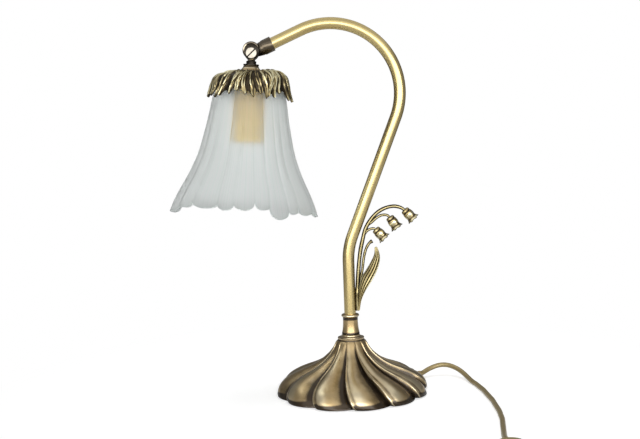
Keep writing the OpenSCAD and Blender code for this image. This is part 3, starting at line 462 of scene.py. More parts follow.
def cast_iron():
    """Raw casting: coarse sand grain with a few rust patches."""
    f = Finish("cast_iron", metallic=0.7)
    sand, rust = f.noise(700, 4), f.noise(60, 4).between(0.55, 0.75)
    grey = f.mix(sand, (0.10, 0.095, 0.09), (0.22, 0.21, 0.2))
    f.set(base_color=f.mix(rust * 0.7, grey, (0.16, 0.07, 0.03)))
    f.set(roughness=0.62 + rust * 0.25, normal=f.relief(sand, 0.0004, 0.7))
    return f.material


finishes = {
    "antique_brass": cast_brass("antique_brass", (0.88, 0.75, 0.50), (0.62, 0.465, 0.245),
        (0.05, 0.034, 0.019)),
    "satin_brass": satin_brass(),
    "dark_bronze": cast_brass("dark_bronze", (0.62, 0.54, 0.40), (0.15, 0.125, 0.092),
        (0.022, 0.018, 0.013), 0.22, 0.15),
    "nickel": plain_metal("nickel", (0.41, 0.375, 0.315), 0.3),
    "zinc_steel": plain_metal("zinc_steel", (0.55, 0.55, 0.54), 0.38),
    "cast_iron": cast_iron(),
    "felt": felt(),
    "frosted_glass": frosted_glass(),
    "holder_plastic": amber_plastic(),
    "porcelain": moulded("porcelain", (0.84, 0.82, 0.76), 0.25, coat=0.5, scale=300),
    "contact_brass": plain_metal("contact_brass", (0.78, 0.60, 0.28), 0.25),
    "gold_cord": gold_cord(),
    "gold_plastic": moulded("gold_plastic", (0.58, 0.43, 0.18), 0.34, metallic=0.4, coat=0.25),
    "dark_plastic": moulded("dark_plastic", (0.09, 0.06, 0.035), 0.35, coat=0.2),
    "black_rubber": moulded("black_rubber", (0.035, 0.035, 0.035), 0.7, grain=0.0001),
    "white_lead": moulded("white_lead", (0.78, 0.76, 0.70), 0.45),
}
slots = {part["node"]: part["material_slot"] for part in frame["record"]["subparts"]}
for node, thing in frame["nodes"].items():
    thing.data.materials.clear()
    thing.data.materials.append(finishes[slots[node]])


# ---------- camera ----------
CAMERA_AT = (-30, -1150, 305.5)
PITCH, ROLL = math.radians(5.5), math.radians(2)
LENS = 58.8
view = bpy.data.cameras.new("view")
camera = placed("view", view)
bpy.context.scene.camera = camera
view.lens, view.sensor_width, view.sensor_fit = LENS, 36, "HORIZONTAL"
ahead = Vector((0, math.cos(PITCH), -math.sin(PITCH)))
level = Vector((1, 0, 0))
above = level.cross(ahead)
right = level * math.cos(ROLL) - above * math.sin(ROLL)
upward = level * math.sin(ROLL) + above * math.cos(ROLL)
turn_to_view = Matrix((right, upward, -ahead)).transposed().to_4x4()
camera.matrix_world = Matrix.Translation(Vector(CAMERA_AT) * MM) @ turn_to_view


# ---------- cord ----------
CORD_D = 5.5
cord_r = CORD_D / 2
RELIEF_TIP = (80, 47, 5.7)
RELIEF_DIR = math.radians(41)
RELIEF_L = 22
near_route = [RELIEF_TIP, (83.8, 50.3, 5.7), (93, 56.5, 9), (104, 59.5, 11.8), (114, 57, 12.2),
    (123, 50, 10), (129, 40, 7.2), (133, 28, 4.6), (136, 15, 3), (139, 2, 2.75),
    (141, -11, 2.75), (143, -24, 2.75), (144, -38, 2.75), (145, -52, 2.75), (146, -66, 2.75),
    (146, -80, 2.75), (146, -94, 2.75), (146, -108, 2.75), (145, -122, 2.75), (144, -136, 2.75),
    (142, -150, 2.75), (140, -164, 2.75), (138, -178, 2.9), (136, -192, 3.6), (134.6, -204, 5),
    (134, -215, 6.3), (134, -225, 6.5), (134, -236, 6.5)]
SWITCH_END = (134, -278)
SWITCH_Z, SLOPE_Z = 6.5, 5.4
FAR_TURN = 28
COIL_AT = (70, -287)
COIL_R, COIL_TURNS, COIL_STEP = 24, 3, 6
coil_out_r = COIL_R + COIL_TURNS * COIL_STEP
COIL_LOW, TAIL_L, PLUG_Z = 3.6, 30, 7
coil_all = 2 * COIL_TURNS


def coil_high(v):
    """Height of the coil after v turns: one layer up in the half turn where it reverses."""
    return COIL_LOW + COIL_STEP * ease((v - COIL_TURNS) / 0.5)


def coil_point(v):
    """Clockwise spiral: in for three turns and the quarter after them, then out again, by COIL_STEP a
    turn."""
    w = v - COIL_TURNS
    radius = COIL_R - COIL_STEP * np.minimum(w, 0.5 - w)
    return polar(radius, -TAU / 4 - TAU * v, coil_high(v)) + [*COIL_AT, 0]


def far_path():
    """From the switch round a quarter turn to the foot of the coil, through the coil and out to the plug."""
    centre = np.array([SWITCH_END[0] - FAR_TURN, COIL_AT[1] - coil_out_r + FAR_TURN])
    a = np.linspace(0, TAU / 4, 30)
    fall = lerp(SLOPE_Z, COIL_LOW, ease(a / (TAU / 5)))
    bend = np.stack([centre[0] + FAR_TURN * np.cos(a), centre[1] - FAR_TURN * np.sin(a), fall], -1)
    start = np.linspace([*SWITCH_END, SWITCH_Z], [*bend[0][:2], SLOPE_Z], 12)[:-1]
    start[:, 2] = lerp(SWITCH_Z, SLOPE_Z, ease((np.arange(11) - 3) / 8))
    run_in = np.linspace(bend[-1], [COIL_AT[0], COIL_AT[1] - coil_out_r, COIL_LOW], 12)[1:-1]
    coil = coil_point(np.linspace(0, coil_all, 60 * coil_all + 1))
    end = coil[-1]
    t = np.linspace(0, 1, 26)[1:]
    rise = lerp(end[2], PLUG_Z, ease((t - 0.45) / 0.4))
    tail = np.stack([end[0] - CORD_D - TAIL_L * t, end[1] + 0 * t, rise], -1)
    return join([start, bend, run_in, coil, tail])


def length_of(path):
    """Sum of the steps along a path."""
    return float(np.linalg.norm(np.diff(path, axis=0), axis=1).sum())


def lay_cord(name, path, nodes):
    """Round cord along the path, its UV map along it as long as the path."""
    long = length_of(path) * MM
    made = shaped(name, tube(path, cord_r, 20), nodes, slot="gold_cord", size=(1, long))
    path * MM


soft = {node: softened(node, width) for node, width in (("switch_lower", 0.9), ("switch_upper", 1.6),
    ("plug_body", 1.2), ("plug_pins", 0.5), ("coil_tie", 0.2))}
soft["switch_rocker"] = softened("switch_rocker", 0.5, "rocker")
soft["switch_screws"] = frame["nodes"]["switch_screws"]
near_line = curve(near_route, np.linspace(0, 1, 8 * (len(near_route) - 1) + 1))
lay_cord("cord_to_switch", near_line, ["cord_near"])
lay_cord("cord_from_switch_coil", far_path(), ["cord_far", "cord_coil", "cord_tail"])


def relief_grip():
    """Tapered sleeve with a collar and grooves round it, turned to the way the cord leaves."""
    x = np.linspace(0, RELIEF_L, 90)
    groove = 0.35 * bump((x - 6) % 2.6 - 1.3, 0.35) * (x > 5) * (x < 19)
    radius = lerp(cord_r + 1.3, cord_r + 0.5, x / RELIEF_L) + 0.75 * bump(x - 1.9, 1.0) - groove
    inner = [[cord_r + 0.06, RELIEF_L], [cord_r + 0.06, RELIEF_L - 2], [2.4, RELIEF_L - 2.2], [2.4, 0]]
    rings = turned(join([np.stack([radius, x], 1), inner]), 40)
    across = np.array([-math.sin(RELIEF_DIR), math.cos(RELIEF_DIR), 0])
    out = np.array([math.cos(RELIEF_DIR), math.sin(RELIEF_DIR), 0])
    start = np.array(RELIEF_TIP) - RELIEF_L * out
    return start + rings[..., :1] * across + rings[..., 1:2] * [0, 0, 1] + rings[..., 2:] * out


shaped("relief_sleeve", relief_grip(), ["strain_relief"], slot="gold_plastic", loop=True)

# ---------- foot ----------
FOOT_R, NECK_Z, NECK_R = 84.5, 62, 14.8
PETALS, SWIRL, PETAL_DEPTH, FOOT_WALL = 12, math.radians(25), 7.5, 2.6
GLAND_ANGLE, GLAND_ARCH, ARCH_TOP = math.radians(30), 10.5, 16
ROD_R = 4
ridge = [(FOOT_R, 0.6), (FOOT_R, 3.6), (FOOT_R - 2.4, 10.4), (FOOT_R - 8.4, 17.2),
    (FOOT_R - 18.2, 23), (FOOT_R - 28.8, 27.4), (FOOT_R - 39.2, 31.4), (FOOT_R - 49.5, 36.8),
    (NECK_R + 13.2, NECK_Z - 20), (NECK_R + 9, NECK_Z - 16.2), (NECK_R + 5, NECK_Z - 11),
    (NECK_R + 2, NECK_Z - 5.4), (NECK_R, NECK_Z - 2.4), (NECK_R, NECK_Z)]


def foot_surface(t, a, inset):
    """Swirled petals over the ridge line. Across a petal the crown is a power of a sine, steep on one
    side, with a thin raised fold beside the crease; the crease sinks by PETAL_DEPTH at the rim and runs
    out at the neck. The rings turn by the swirl as they rise, and the rim lifts in a low arch where the
    cord leaves."""
    u = (a / TAU * PETALS) % 1
    p, g = curve(ridge, t), slope(ridge, t)
    valley = 1 - ease((t - 0.1) / 0.82)
    crown = np.sin(math.pi * u**0.62) ** lerp(0.44, 0.95, u)
    fold = 0.8 * bump(u - 0.05, 0.03) * ease((t - 0.02) / 0.1) * (1 - ease((t - 0.8) / 0.15)) * (inset == 0)
    dip = PETAL_DEPTH * valley * (1 - crown) - fold
    r = p[..., 0] - dip * (0.35 + 0.65 * g[..., 1]) - inset * g[..., 1]
    z = np.maximum(0.6, p[..., 1] - dip * 0.95 * np.abs(g[..., 0]) + inset * g[..., 0])
    off = np.degrees((a - GLAND_ANGLE + math.pi) % TAU - math.pi)
    arch = GLAND_ARCH * (1 - ease((np.abs(off) - 4) / 5))
    z = np.where(z < ARCH_TOP, arch + z * (ARCH_TOP - arch) / ARCH_TOP, z)
    turn = a - SWIRL * t**0.85 * (1 - 0.15 * t)
    return polar(r, turn, z)


def petal_foot():
    """Petals outside, the rod's bore through the neck, and the wall's inner side. Marks: painted shade on
    each petal's far flank, low on the rim, just below the neck ring and over the bore and the inner side;
    patina and painted shade in the crease and just beyond the fold; bright on the fold and the neck's top
    edge, wear and a painted highlight together; and a painted highlight down the crest."""
    columns = PETALS * 36
    a = circle(columns)
    outer_t, inner_t = np.linspace(0, 1, 120)[:, None], np.linspace(0.88, 0, 26)[:, None]
    outer, inner = foot_surface(outer_t, a, 0), foot_surface(inner_t, a, FOOT_WALL)
    top = NECK_Z - FOOT_WALL - 1
    bore = turned([[ROD_R + 0.4, NECK_Z], [ROD_R + 0.4, top], [NECK_R - FOOT_WALL, top]], columns)
    c, s = math.cos(SWIRL * 0.85), math.sin(SWIRL * 0.85)
    bore = bore @ np.array([[c, -s, 0], [s, c, 0], [0, 0, 1]])
    rings = join([outer, bore, inner])
    u = (a / TAU * PETALS) % 1
    up = 1 - ease((outer_t - 0.62) / 0.36)
    # painted shade over each petal's far flank; patina and painted shade in the crease and just beyond the
    # fold
    flank_shade = 0.32 * ease((u - 0.42) / 0.36) + 0.8 * ease((u - 0.74) / 0.24)
    flank_shade = flank_shade + 0.9 * bump(u, 0.028) + 0.45 * bump(u - 0.14, 0.05)
    # painted shade low on the rim
    rim_shade = 1.15 - 1.15 * ease((outer[..., 2] - 2.2) / 5.5)
    # with it, painted shade just below the neck ring
    hollow = np.clip(flank_shade * up + rim_shade + 0.7 * bump(outer_t - 0.93, 0.03), 0, 1)
    # bright on the fold and the neck's top edge: wear and painted highlight
    fold = 1.1 * bump(u - 0.055, 0.022) * (1 - ease((outer_t - 0.75) / 0.2)) + bump(outer_t - 0.985, 0.012)
    # painted highlight down each petal's crest
    crest = bump(u - 0.27, 0.14) * (1.1 * bump(outer_t - 0.2, 0.1) + 0.75 * bump(outer_t - 0.52, 0.26))
    # the bore and the inner side get painted shade (0.5)
    rest = np.zeros((len(rings) - len(outer), columns))
    hollow, edge, pale = (join([mark, rest + fill]) for mark, fill in
        ((hollow, 0.5), (np.clip(fold, 0, 1), 0), (np.clip(crest, 0, 1), 0)))
    shaped("petal_foot", rings, ["base_shell"], loop=True, sharp=60, hollow=hollow, edge=edge, pale=pale)


petal_foot()

# ---------- column ----------
TUBE_R, TUBE_WALL = 6.5, 1.25
RING_Z, RING_H, COLLAR_Z, COLLAR_H, COLLAR_R = 62.05, 4.4, 66.5, 22, 8.3
TUBE_Z = 68
BEND_Z, BEND_R, LEAN = 162, 75, math.radians(21.7)
HOOK_Z, HOOK_R, DROP, REACH, FERRULE_OVER = 332.5, 76, math.radians(23.5), 58.6, 15
bend_low = BEND_Z - BEND_R * math.tan(LEAN / 2)
hook_x = (HOOK_Z - BEND_Z) * math.tan(LEAN) - HOOK_R / math.cos(LEAN)
hook_end = np.array([hook_x - HOOK_R * math.sin(DROP), HOOK_Z + HOOK_R * math.cos(DROP)])
arm_out = np.array([-math.cos(DROP), 0, -math.sin(DROP)])
pivot = np.array([hook_end[0], 0, hook_end[1]]) + REACH * arm_out


def arm_path():
    """Column, lower bend, leaning run, hook and end run, as one line in the plane y = 0."""
    low = np.linspace([0, TUBE_Z], [0, bend_low], 30)
    a = np.linspace(math.pi, math.pi - LEAN, 24)
    bend = np.stack([BEND_R + BEND_R * np.cos(a), bend_low + BEND_R * np.sin(a)], 1)
    a = np.linspace(-LEAN, math.pi / 2 + DROP, 120)
    hook = np.stack([hook_x + HOOK_R * np.cos(a), HOOK_Z + HOOK_R * np.sin(a)], 1)
    run = np.linspace(bend[-1], hook[0], 60)
    end = np.linspace(hook[-1], hook[-1] + (REACH - FERRULE_OVER) * arm_out[[0, 2]], 20)
    flat = join([low[:-1], bend[:-1], run[:-1], hook[:-1], end])
    return np.stack([flat[:, 0], 0 * flat[:, 0], flat[:, 1]], 1)


def arm():
    """Bent tube: its outer wall and back along the inner one."""
    path = arm_path()
    walls = [tube(path, TUBE_R, 64, (0, 1, 0)), tube(path, TUBE_R - TUBE_WALL, 64, (0, 1, 0))[::-1]]
    size = (TAU * TUBE_R * MM, 2 * length_of(path) * MM)
    shaped("bent_arm", join(walls), ["arm_tube"], slot="satin_brass", loop=True, size=size)


def lathed(name, outline, node, groove=(), bright_tone=(), round_by=0.3, reach=0.8, place=None, **rides):
    """Turned piece with eased corners, which stands for one node. Groove lists places [radius, height] that
    are dark as far as reach: patina in grooves, and painted shade where parts meet; the list after it gives
    places that are bright as far as reach. Place moves the points from the outline's frame."""
    line = eased_outline(outline, round_by)
    rings = turned(line)

    def near(spots):
        """Sum of the bumps at the spots, for each point of the outline."""
        return sum((bump(np.linalg.norm(line - spot, axis=1), reach) for spot in spots), 0 * line[:, 0])

    # dark spots: patina in grooves and painted shade where parts meet
    marks = {key: np.clip(near(spots), 0, 1)[:, None] for key, spots in (("hollow", groove), ("edge", bright_tone))}
    shaped(name, place(rings) if place else rings, [node], loop=True, sharp=50, **rides, **marks)


def neck_and_collar():
    """Beaded ring on the neck of the foot, and on it the waisted collar that holds the tube."""
    rod, r = ROD_R + 0.05, COLLAR_R
    low, high, top = RING_Z, RING_Z + RING_H, COLLAR_Z + COLLAR_H
    half = low + RING_H * 0.5
    bead = [(r + 0.5 + 1.55 * math.cos(x), half + 1.5 * math.sin(x)) for x in np.linspace(-1.1, 1.1, 9)]
    outline = [(rod, low), (r + 3, low), (r + 2.6, low + 0.8), (r + 0.6, low + 0.9), *bead,
        (r + 0.3, high - 0.2), (r - 0.4, high), (rod, high)]
    lathed("neck_bead", outline, "neck_ring", groove=[(r + 0.7, low + 0.9), (r + 0.2, high)],
        bright_tone=[(r + 2.05, low + 2.2), (r + 2.9, low + 0.3)], round_by=0.15)
    waist = [(r + 1.7 * (1 - t) ** 3, COLLAR_Z + t * (COLLAR_H - 4)) for t in np.linspace(0, 1, 12)]
    bead = [(r + 1.6 * math.cos(x), top - 1.9 + 1.6 * math.sin(x)) for x in np.linspace(-1.4, 1.5, 11)]
    outline = [(rod, COLLAR_Z), *waist, *bead, (TUBE_R + 0.05, top), (TUBE_R + 0.05, TUBE_Z - 0.05),
        (rod, TUBE_Z - 0.05)]
    groove = [(r + 0.1, top - 4.2), (r + 0.1, top - 5), (r + 1.5, COLLAR_Z + 0.2)]
    lathed("column_socket", outline, "column_collar", groove=groove, bright_tone=[(r + 1.6, top - 1.9)],
        round_by=0.12, reach=1.3)


arm()
neck_and_collar()

# ---------- sprig ----------
STEM_D = 3.6
STEM_X, SPRIG_Z = TUBE_R + STEM_D / 2, COLLAR_Z + COLLAR_H + 3


def at_side(points, y=0):
    """Points [x, z] of the sprig beside the column, as [x, y, z]."""
    p = np.asarray(points, float)
    return np.stack([p[:, 0] + STEM_X, np.full(len(p), float(y)), p[:, 1] + SPRIG_Z], 1)


stem_line = at_side([(0, 0), (0, 12), (0.6, 24), (1.9, 40), (3.4, 54.5), (5.4, 67.7), (8, 78.8), (11.1, 89.9),
    (15.8, 98.6), (21.5, 105.6), (28.3, 110.9), (36.1, 114.2), (43.9, 115.2), (50.5, 113.7), (54.8, 111.1)])
branch_high = at_side([(12.6, 92.6), (15.4, 96.2), (18.9, 98.6), (23, 102.2), (28.1, 105.2), (32.6, 106),
    (36, 105.4), (38.2, 103.7)])
branch_low = at_side([(9.2, 83.2), (11.2, 86.6), (14, 89.4), (17.7, 91), (20.4, 91.2), (22.2, 90.8)])
bud_line = at_side([(3.1, 24.5), (4.8, 36.3), (6.8, 45.1), (8.4, 56.3), (10.4, 65.2), (13, 71.4), (16, 75.4),
    (19, 77.2)], 1.6)
leaf_left = at_side([(0.2, 0.5), (1.2, 12.3), (2.8, 27.9), (5.2, 38), (9.7, 44.5), (15.4, 53.3), (20.1, 62.6),
    (20.9, 70.6)])
leaf_right = at_side([(2.4, 0.5), (4.6, 12.1), (9.4, 22.7), (17, 34.2), (22.9, 45.2), (26.2, 56.2), (26, 64),
    (23.6, 71.4)])
LEAF_T, BELL_L, BELL_R, BELL_WALL, LOBES = 1.6, 15, 6.8, 0.9, 6
leaf_y = -(STEM_D / 2 + 1.2)
bell_out = [(1.8, 0), (4.1, 0.5), (4.9, 2.3), (5.1, 4.8), (5.4, 7.8), (5, 10.6), (5.6, BELL_L - 2.4),
    (BELL_R, BELL_L)]
STEM_SWELL = 1.17


def stem(name, line, radii, nodes, steps, boss=0.0, dark_end=0.0):
    """Cast stem along a smooth line, with faint hammer waves and a boss near its foot. It has a painted
    highlight down the side that faces forward and painted shade at its sides, and is dark at its end too with
    dark_end."""
    t = np.linspace(0, 1, steps)
    radius = np.interp(t, np.linspace(0, 1, len(radii)), radii) * (1 + 0.03 * np.sin(37 * t))
    radius = STEM_SWELL * radius + boss * bump(t - 0.12, 0.022)
    path, end = curve(line, t), dark_end * bump(t - 1, 0.06)[:, None]
    rings = tube(path, radius, 24, (0, 1, 0))
    # front is 1 where the surface faces forward (-Y): painted highlight there, painted shade towards the
    # sides
    front = (path[:, None, 1] - rings[..., 1]) / radius[:, None]
    hollow = np.maximum(1.2 * ease((1 - front) / 0.2), end)
    edge = 0.45 * ease((front - 0.93) / 0.07) * (1 - end)
    shaped(name, rings, nodes, size=(0.01, 0.1), hollow=hollow, edge=edge, olive=1.0)


def leaf_blade():
    """Pointed blade between its two edges: it dishes towards the midrib, with four grooves along it and
    a raised edge. The tip is rounded off."""
    t = (1 - np.linspace(1, 0, 100) ** 1.6)[:, None]
    u = np.linspace(0, 1, 49)[None, :]
    left, right = curve(leaf_left, t[:, 0])[:, None], curve(leaf_right, t[:, 0])[:, None]
    middle = (left + right) / 2
    full = np.sqrt(np.clip((1 - t) / 0.03, 0.02, 1))[..., None]
    flat = middle + (lerp(left, right, u[..., None]) - middle) * full
    body = np.clip(np.sin(math.pi * t) * 1.3, 0.15, 1)
    groove = sum(bump(u - (n + 0.7) / 4.4, 0.045) for n in range(4))
    dish = 2.0 * body * np.abs(2 * u - 1) ** 1.4
    front, back = flat.copy(), flat.copy()
    front[..., 1] = leaf_y - dish + 0.55 * body * groove
    back[..., 1] = leaf_y - dish + LEAF_T
    rings = join([front, back[:, ::-1]], 1)
    side = np.minimum(u, 1 - u)
    # marks: dark in the grooves (patina and painted shade) and along the edges, brighter just inside the
    # edges, and painted shade over the whole back
    hollow = np.clip(1.1 * groove * np.clip(body * 1.6 - 0.2, 0, 1) + 0.5 * bump(side, 0.03), 0, 1)
    edge = np.clip(0.12 + 0 * t - 1.2 * groove + 0.6 * bump(side - 0.07, 0.05), 0, 1) * body
    hollow, edge = join([hollow, 0.6 + 0 * hollow], 1), join([edge, 0 * edge], 1)
    shaped("sprig_blade", rings, ["sprig_leaf"], sharp=45, hollow=hollow, edge=edge, olive=1.15)


def bell(name, tip, tilt, node):
    """Hollow bell: a waisted profile turned round, pleated, with raised rings, whose edge runs out in
    turned-back lobes. The wall is followed down outside and up inside."""
    t, a = np.linspace(0, 1, 40)[:, None], circle(LOBES * 16)
    wave = np.cos(LOBES * a)

    def wall(t, thin):
        """One side of the wall: outside where thin is 0."""
        p, g = curve(bell_out, t[:, 0])[:, None], slope(bell_out, t[:, 0], 0.02)[:, None]
        lobe = t**5
        r = np.maximum(0.7, p[..., 0] - thin * g[..., 1]) * (1 + 0.07 * lobe * wave)
        pleat = 0.25 * np.abs(np.cos(LOBES * a / 2)) ** 10 * ease((t - 0.35) / 0.2)
        ring = 0.25 * bump(t - 0.44, 0.03) - 0.35 * bump(t - 0.36, 0.035) - 0.2 * bump(t - 0.78, 0.03)
        z = -(p[..., 1] + thin * g[..., 0]) - lobe * 0.4 * wave + 0.4 * t**12
        return polar(r + (pleat + ring) * (thin == 0), a, z)

    rings = join([wall(t, 0), wall(t[::-1], BELL_WALL)]) - [0, 0, 0.2]
    rings = tilted(rings, math.radians(tilt)) + tip
    # marks: dark at the grooves, the top and the lip (patina and painted shade), painted shade all over the
    # inside, and brighter bands at the shoulder, the swell and near the lip
    waist = bump(t - 0.35, 0.05) + bump(t, 0.1) + 0.9 * bump(t - 0.79, 0.05) + bump(t - 1, 0.03)
    hollow = np.clip(join([waist, 0 * t + 0.75]), 0, 1)
    edge = bump(t - 0.92, 0.05) + 0.9 * bump(t - 0.58, 0.12) + 0.5 * bump(t - 0.2, 0.08)
    edge = join([edge, 0 * t])
    shaped(name, rings, [node], loop=True, sharp=60, hollow=hollow, edge=edge, olive=0.7)


stem("sprig_main_stem", stem_line, [1.8, 2.0, 2.0, 1.95, 1.9, 1.85, 1.8, 1.7, 1.5], ["sprig_stem"], 160, 0.6)
stem("sprig_high_branch", branch_high, [1.4, 1.4, 1.3, 1.2], ["sprig_branches"], 60)
stem("sprig_low_branch", branch_low, [1.4, 1.3, 1.2], [], 40)
bud_t = np.linspace(0, 1, 80)
bud_radii = lerp(1.2, 1.45, bud_t) + 0.5 * bump(bud_t - 0.95, 0.05)
stem("sprig_closed_bud", bud_line, bud_radii, ["sprig_bud"], 80, dark_end=1)
leaf_blade()
bell("top_bell", stem_line[-1], 43, "bell_high")
bell("middle_bell", branch_high[-1], 34, "bell_middle")
bell("bottom_bell", branch_low[-1], 43, "bell_low")

# ---------- knuckle ----------
CHEEK_R, CHEEK_UP, CHEEK_OUT, BEAD_R, SOCKET_END = 9.4, 3, 8.6, 1.5, 39
SCREW_R, SCREW_H, SCREW_EDGE, SHANK_R, SCREW_END = 6, 2.4, 0.5, 2.5, 14.15
SLOT_W, SLOT_TURN = 1.2, math.radians(43)
cheek_at = pivot + np.array([0, 0, CHEEK_UP])


def cheek_shade(points):
    """Painted shade over the disc of the cheeks and along both edges of the socket."""
    off = np.linalg.norm((points - cheek_at)[:, [0, 2]], axis=1)
    along = (points - pivot) @ -arm_out
    return np.maximum(0.62 * ease((CHEEK_R + 1.5 - off) / 1.0), 0.7 * bump(along - SOCKET_END, 1.5))


def cheek_bead():
    """Raised bead round the front cheek: from a point low on the left over the top to the socket, as a
    tube that tapers towards both ends."""
    t = np.linspace(0, 1, 90)
    a = np.radians(lerp(214, 12, t))
    radius = CHEEK_R - BEAD_R + 0.1
    path = cheek_at + np.stack([radius * np.cos(a), 0 * a - CHEEK_OUT + 0.7, radius * np.sin(a)], -1)
    thick = BEAD_R * np.sqrt(np.clip(np.minimum(t / 0.35, (1 - t) / 0.2), 0.01, 1))
    front = tube(path, thick, 24, (0, 1, 0))
    # painted shade on the bead's underside, and a painted highlight on the forward-facing upper part of its
    # left arc
    low = ease((path[:, None, 2] - front[..., 2]) / 1.6 + 0.2) * 0.7
    edge = bump(t - 0.3, 0.16)[:, None] * ease((path[:, None, 1] - front[..., 1]) / 1.2)
    shaped("cheek_bead", front, [], slot="dark_bronze", hollow=low, edge=edge)


def pivot_screw():
    """Low domed head with a rounded edge, its slot sunk where the distance from the slot's middle line
    is under half its width, and a plain shank that ends in the nut."""
    curl = 1 - np.sin(np.linspace(0.2, math.pi / 2, 6))
    flat_r, columns = SCREW_R - SCREW_EDGE, 160
    r = join([np.linspace(0.05, flat_r, 60), SCREW_R - SCREW_EDGE * curl])[:, None]
    a = circle(columns)
    over = np.clip(r - flat_r, 0, SCREW_EDGE) / SCREW_EDGE
    slot = ease((SLOT_W / 2 + 0.12 - np.abs(r * np.sin(a - SLOT_TURN))) / 0.24)
    high = SCREW_H - 0.25 * (r / SCREW_R) ** 2 - SCREW_EDGE * (1 - np.sqrt(1 - over**2)) - 1.5 * slot
    low = -SCREW_END - CHEEK_OUT + 0.05
    body = turned([[SCREW_R, 0], [SHANK_R, 0], [SHANK_R, low], [0.05, low]], columns)
    rings = join([polar(r, a, high), body])
    rings = np.stack([rings[..., 0], -rings[..., 2] - CHEEK_OUT - 0.05, rings[..., 1]], -1) + pivot
    # the slot is painted nearly black (painted shade)
    hollow = join([slot, np.zeros((4, columns))])
    shaped("slotted_screw", rings, ["pivot_screw"], slot="nickel", sharp=35, hollow=hollow)


# the cheeks and the socket's end get painted shade
softened("knuckle_socket", 0.45, hollow=cheek_shade)
softened("pivot_nut", 0.3)
# painted shade: the whole swivel is marked darker than the socket
softened("head_swivel", 0.4, "head", lambda points: 0.55 + 0 * points[:, 0])
cheek_bead()
pivot_screw()

# ---------- head ----------
HEAD_LEAN = math.radians(5)
CUP_R, CUP_TOP, CUP_BORE, NIPPLE_R = 13.1, 13.4, 6.55, 5
CROWN_R, CROWN_D, CROWN_T, LEAVES = 38.7, 21, 1.5, 12
crown_plate = CROWN_D + 0.05
GLASS_D, GLASS_WALL, GLASS_L, GLASS_R = 24.05, 3, 152, 82
FLUTES = 20


def in_head(rings):
    """Head frame to the shared frame: turned by the lean about the tilting axis, then moved to the pivot."""
    return tilted(rings, -HEAD_LEAN) + pivot


cup_line = [(CUP_BORE, -CUP_TOP - 0.05), (8, -CUP_TOP - 0.05), (8.4, -CUP_TOP - 0.9), (9.0, -CUP_TOP - 2.1),
    (10.4, -CUP_TOP - 4.0), (CUP_R - 0.8, -CROWN_D + 1.6), (CUP_R, -CROWN_D + 1), (CUP_R, -CROWN_D),
    (CUP_BORE, -CROWN_D)]
lathed("cone_cup_turned", cup_line, "cone_cup", groove=[(8.3, -CUP_TOP - 1.4), (CUP_R - 0.6, -CROWN_D + 1.5)],
    bright_tone=[(9.2, -CUP_TOP - 2.4), (CUP_R, -CROWN_D + 0.6)], round_by=0.35, place=in_head, body="head")

crown_line = np.array([(CUP_R, 0), (CUP_R + 1.4, -0.7), (19, -1.1), (26, -1.2), (33, 0.7), (CROWN_R, 4.4),
    (CROWN_R + 2.8, 11), (CROWN_R + 4.8, 19), (CROWN_R + 8.6, 29.5)]) + [0, crown_plate]
BLADES, OVER_BLADES = 3 * LEAVES, 31
LONG_BLADES = [0, 4, 9, 13, 17, 22, 29, 33]
blade = np.arange(BLADES)
blade_reach = np.where(np.isin(blade, LONG_BLADES), 1, 0.93) + 0.03 * np.sin(np.radians(97 * blade))
notch_reach = 0.95 * np.minimum(blade_reach, np.roll(blade_reach, 1))


def blade_relief(place, s, centre, height, lean):
    """Crest of the blades at this place round the crown: 1 on the crest, 0 in the groove, with a fine
    midrib and slanting veins. The crest lies off the middle and each blade has its own height. Gives
    that, and how far each point lies from the crest."""
    k = np.floor(place)
    v = place - k
    crest = 0.5 + centre * np.sin(2.1 * k + lean)
    side = np.where(v < crest, (crest - v) / crest, (v - crest) / (1 - crest))
    body = (1 - side**1.3) * (1 + height * np.sin(5.3 * k + 2 * lean))
    fold = 0.38 * np.sin(TAU * (2.4 * v + 0.5 * np.sin(4 * s + 1.3 * k))) * np.sin(math.pi * v)
    vein = 0.2 * np.sin(TAU * (6 * s + 1.1 * side) + k) * np.sin(math.pi * side)
    return body + 0.22 * bump(side, 0.13) + fold + vein, side


def crown_surface(s, a, inset):
    """Two layers of narrow cast blades over the crown line; where one stands higher it hides the other.
    The lower layer sets the edge, each blade running out in its own point; the upper one leans across
    it and ends half way down. Grooves sink under the line, crests stand over it, square to it. The left
    shoulder is drawn in, the right one lifted. Gives the points and their height over the line."""
    place = a / TAU * BLADES
    k = np.floor(place).astype(int) % BLADES
    v = place % 1
    side = np.abs(2 * v - 1)
    notch = np.where(v < 0.5, notch_reach[k], notch_reach[(k + 1) % BLADES])
    reach = notch + (blade_reach[k] - notch) * (1 - side) ** 0.85
    t = s * lerp(1, reach, ease((s - 0.1) / 0.4))
    p, g = curve(crown_line, t), slope(crown_line, t)
    lower = blade_relief(place, t, 0.12, 0.25, 0.4)[0]
    over_place = a / TAU * OVER_BLADES + 0.25 * np.sin(3 * a) + 1.6 * t
    upper, upper_side = blade_relief(over_place, t, 0.2, 0.3, 1.9)
    tip = 0.62 + 0.22 * np.sin(4.7 * np.floor(over_place)) + 0.15 * (1 - upper_side)
    upper = upper * 1.25 * ease((t - 0.1) / 0.25) * ease((tip - t) / 0.08) - 0.25
    rib = (1.55 * np.maximum(lower, upper) - 0.62) * ease((s - 0.12) / 0.32)
    lift = rib * (inset == 0) - inset
    r = p[..., 0] + lift * g[..., 1] - 3.2 * ease(-np.cos(a)) * bump(s - 0.56, 0.17)
    d = p[..., 1] - lift * g[..., 0] - 2.4 * np.cos(a) * bump(s - 0.52, 0.2)
    bend = a + 0.07 * np.sin(2.3 * np.floor(k / 3) + 1) * ease(t) * t
    return polar(r, bend + 0.05 * np.sin(9 * t + 5 * a) * ease(t / 0.4), -d), rib


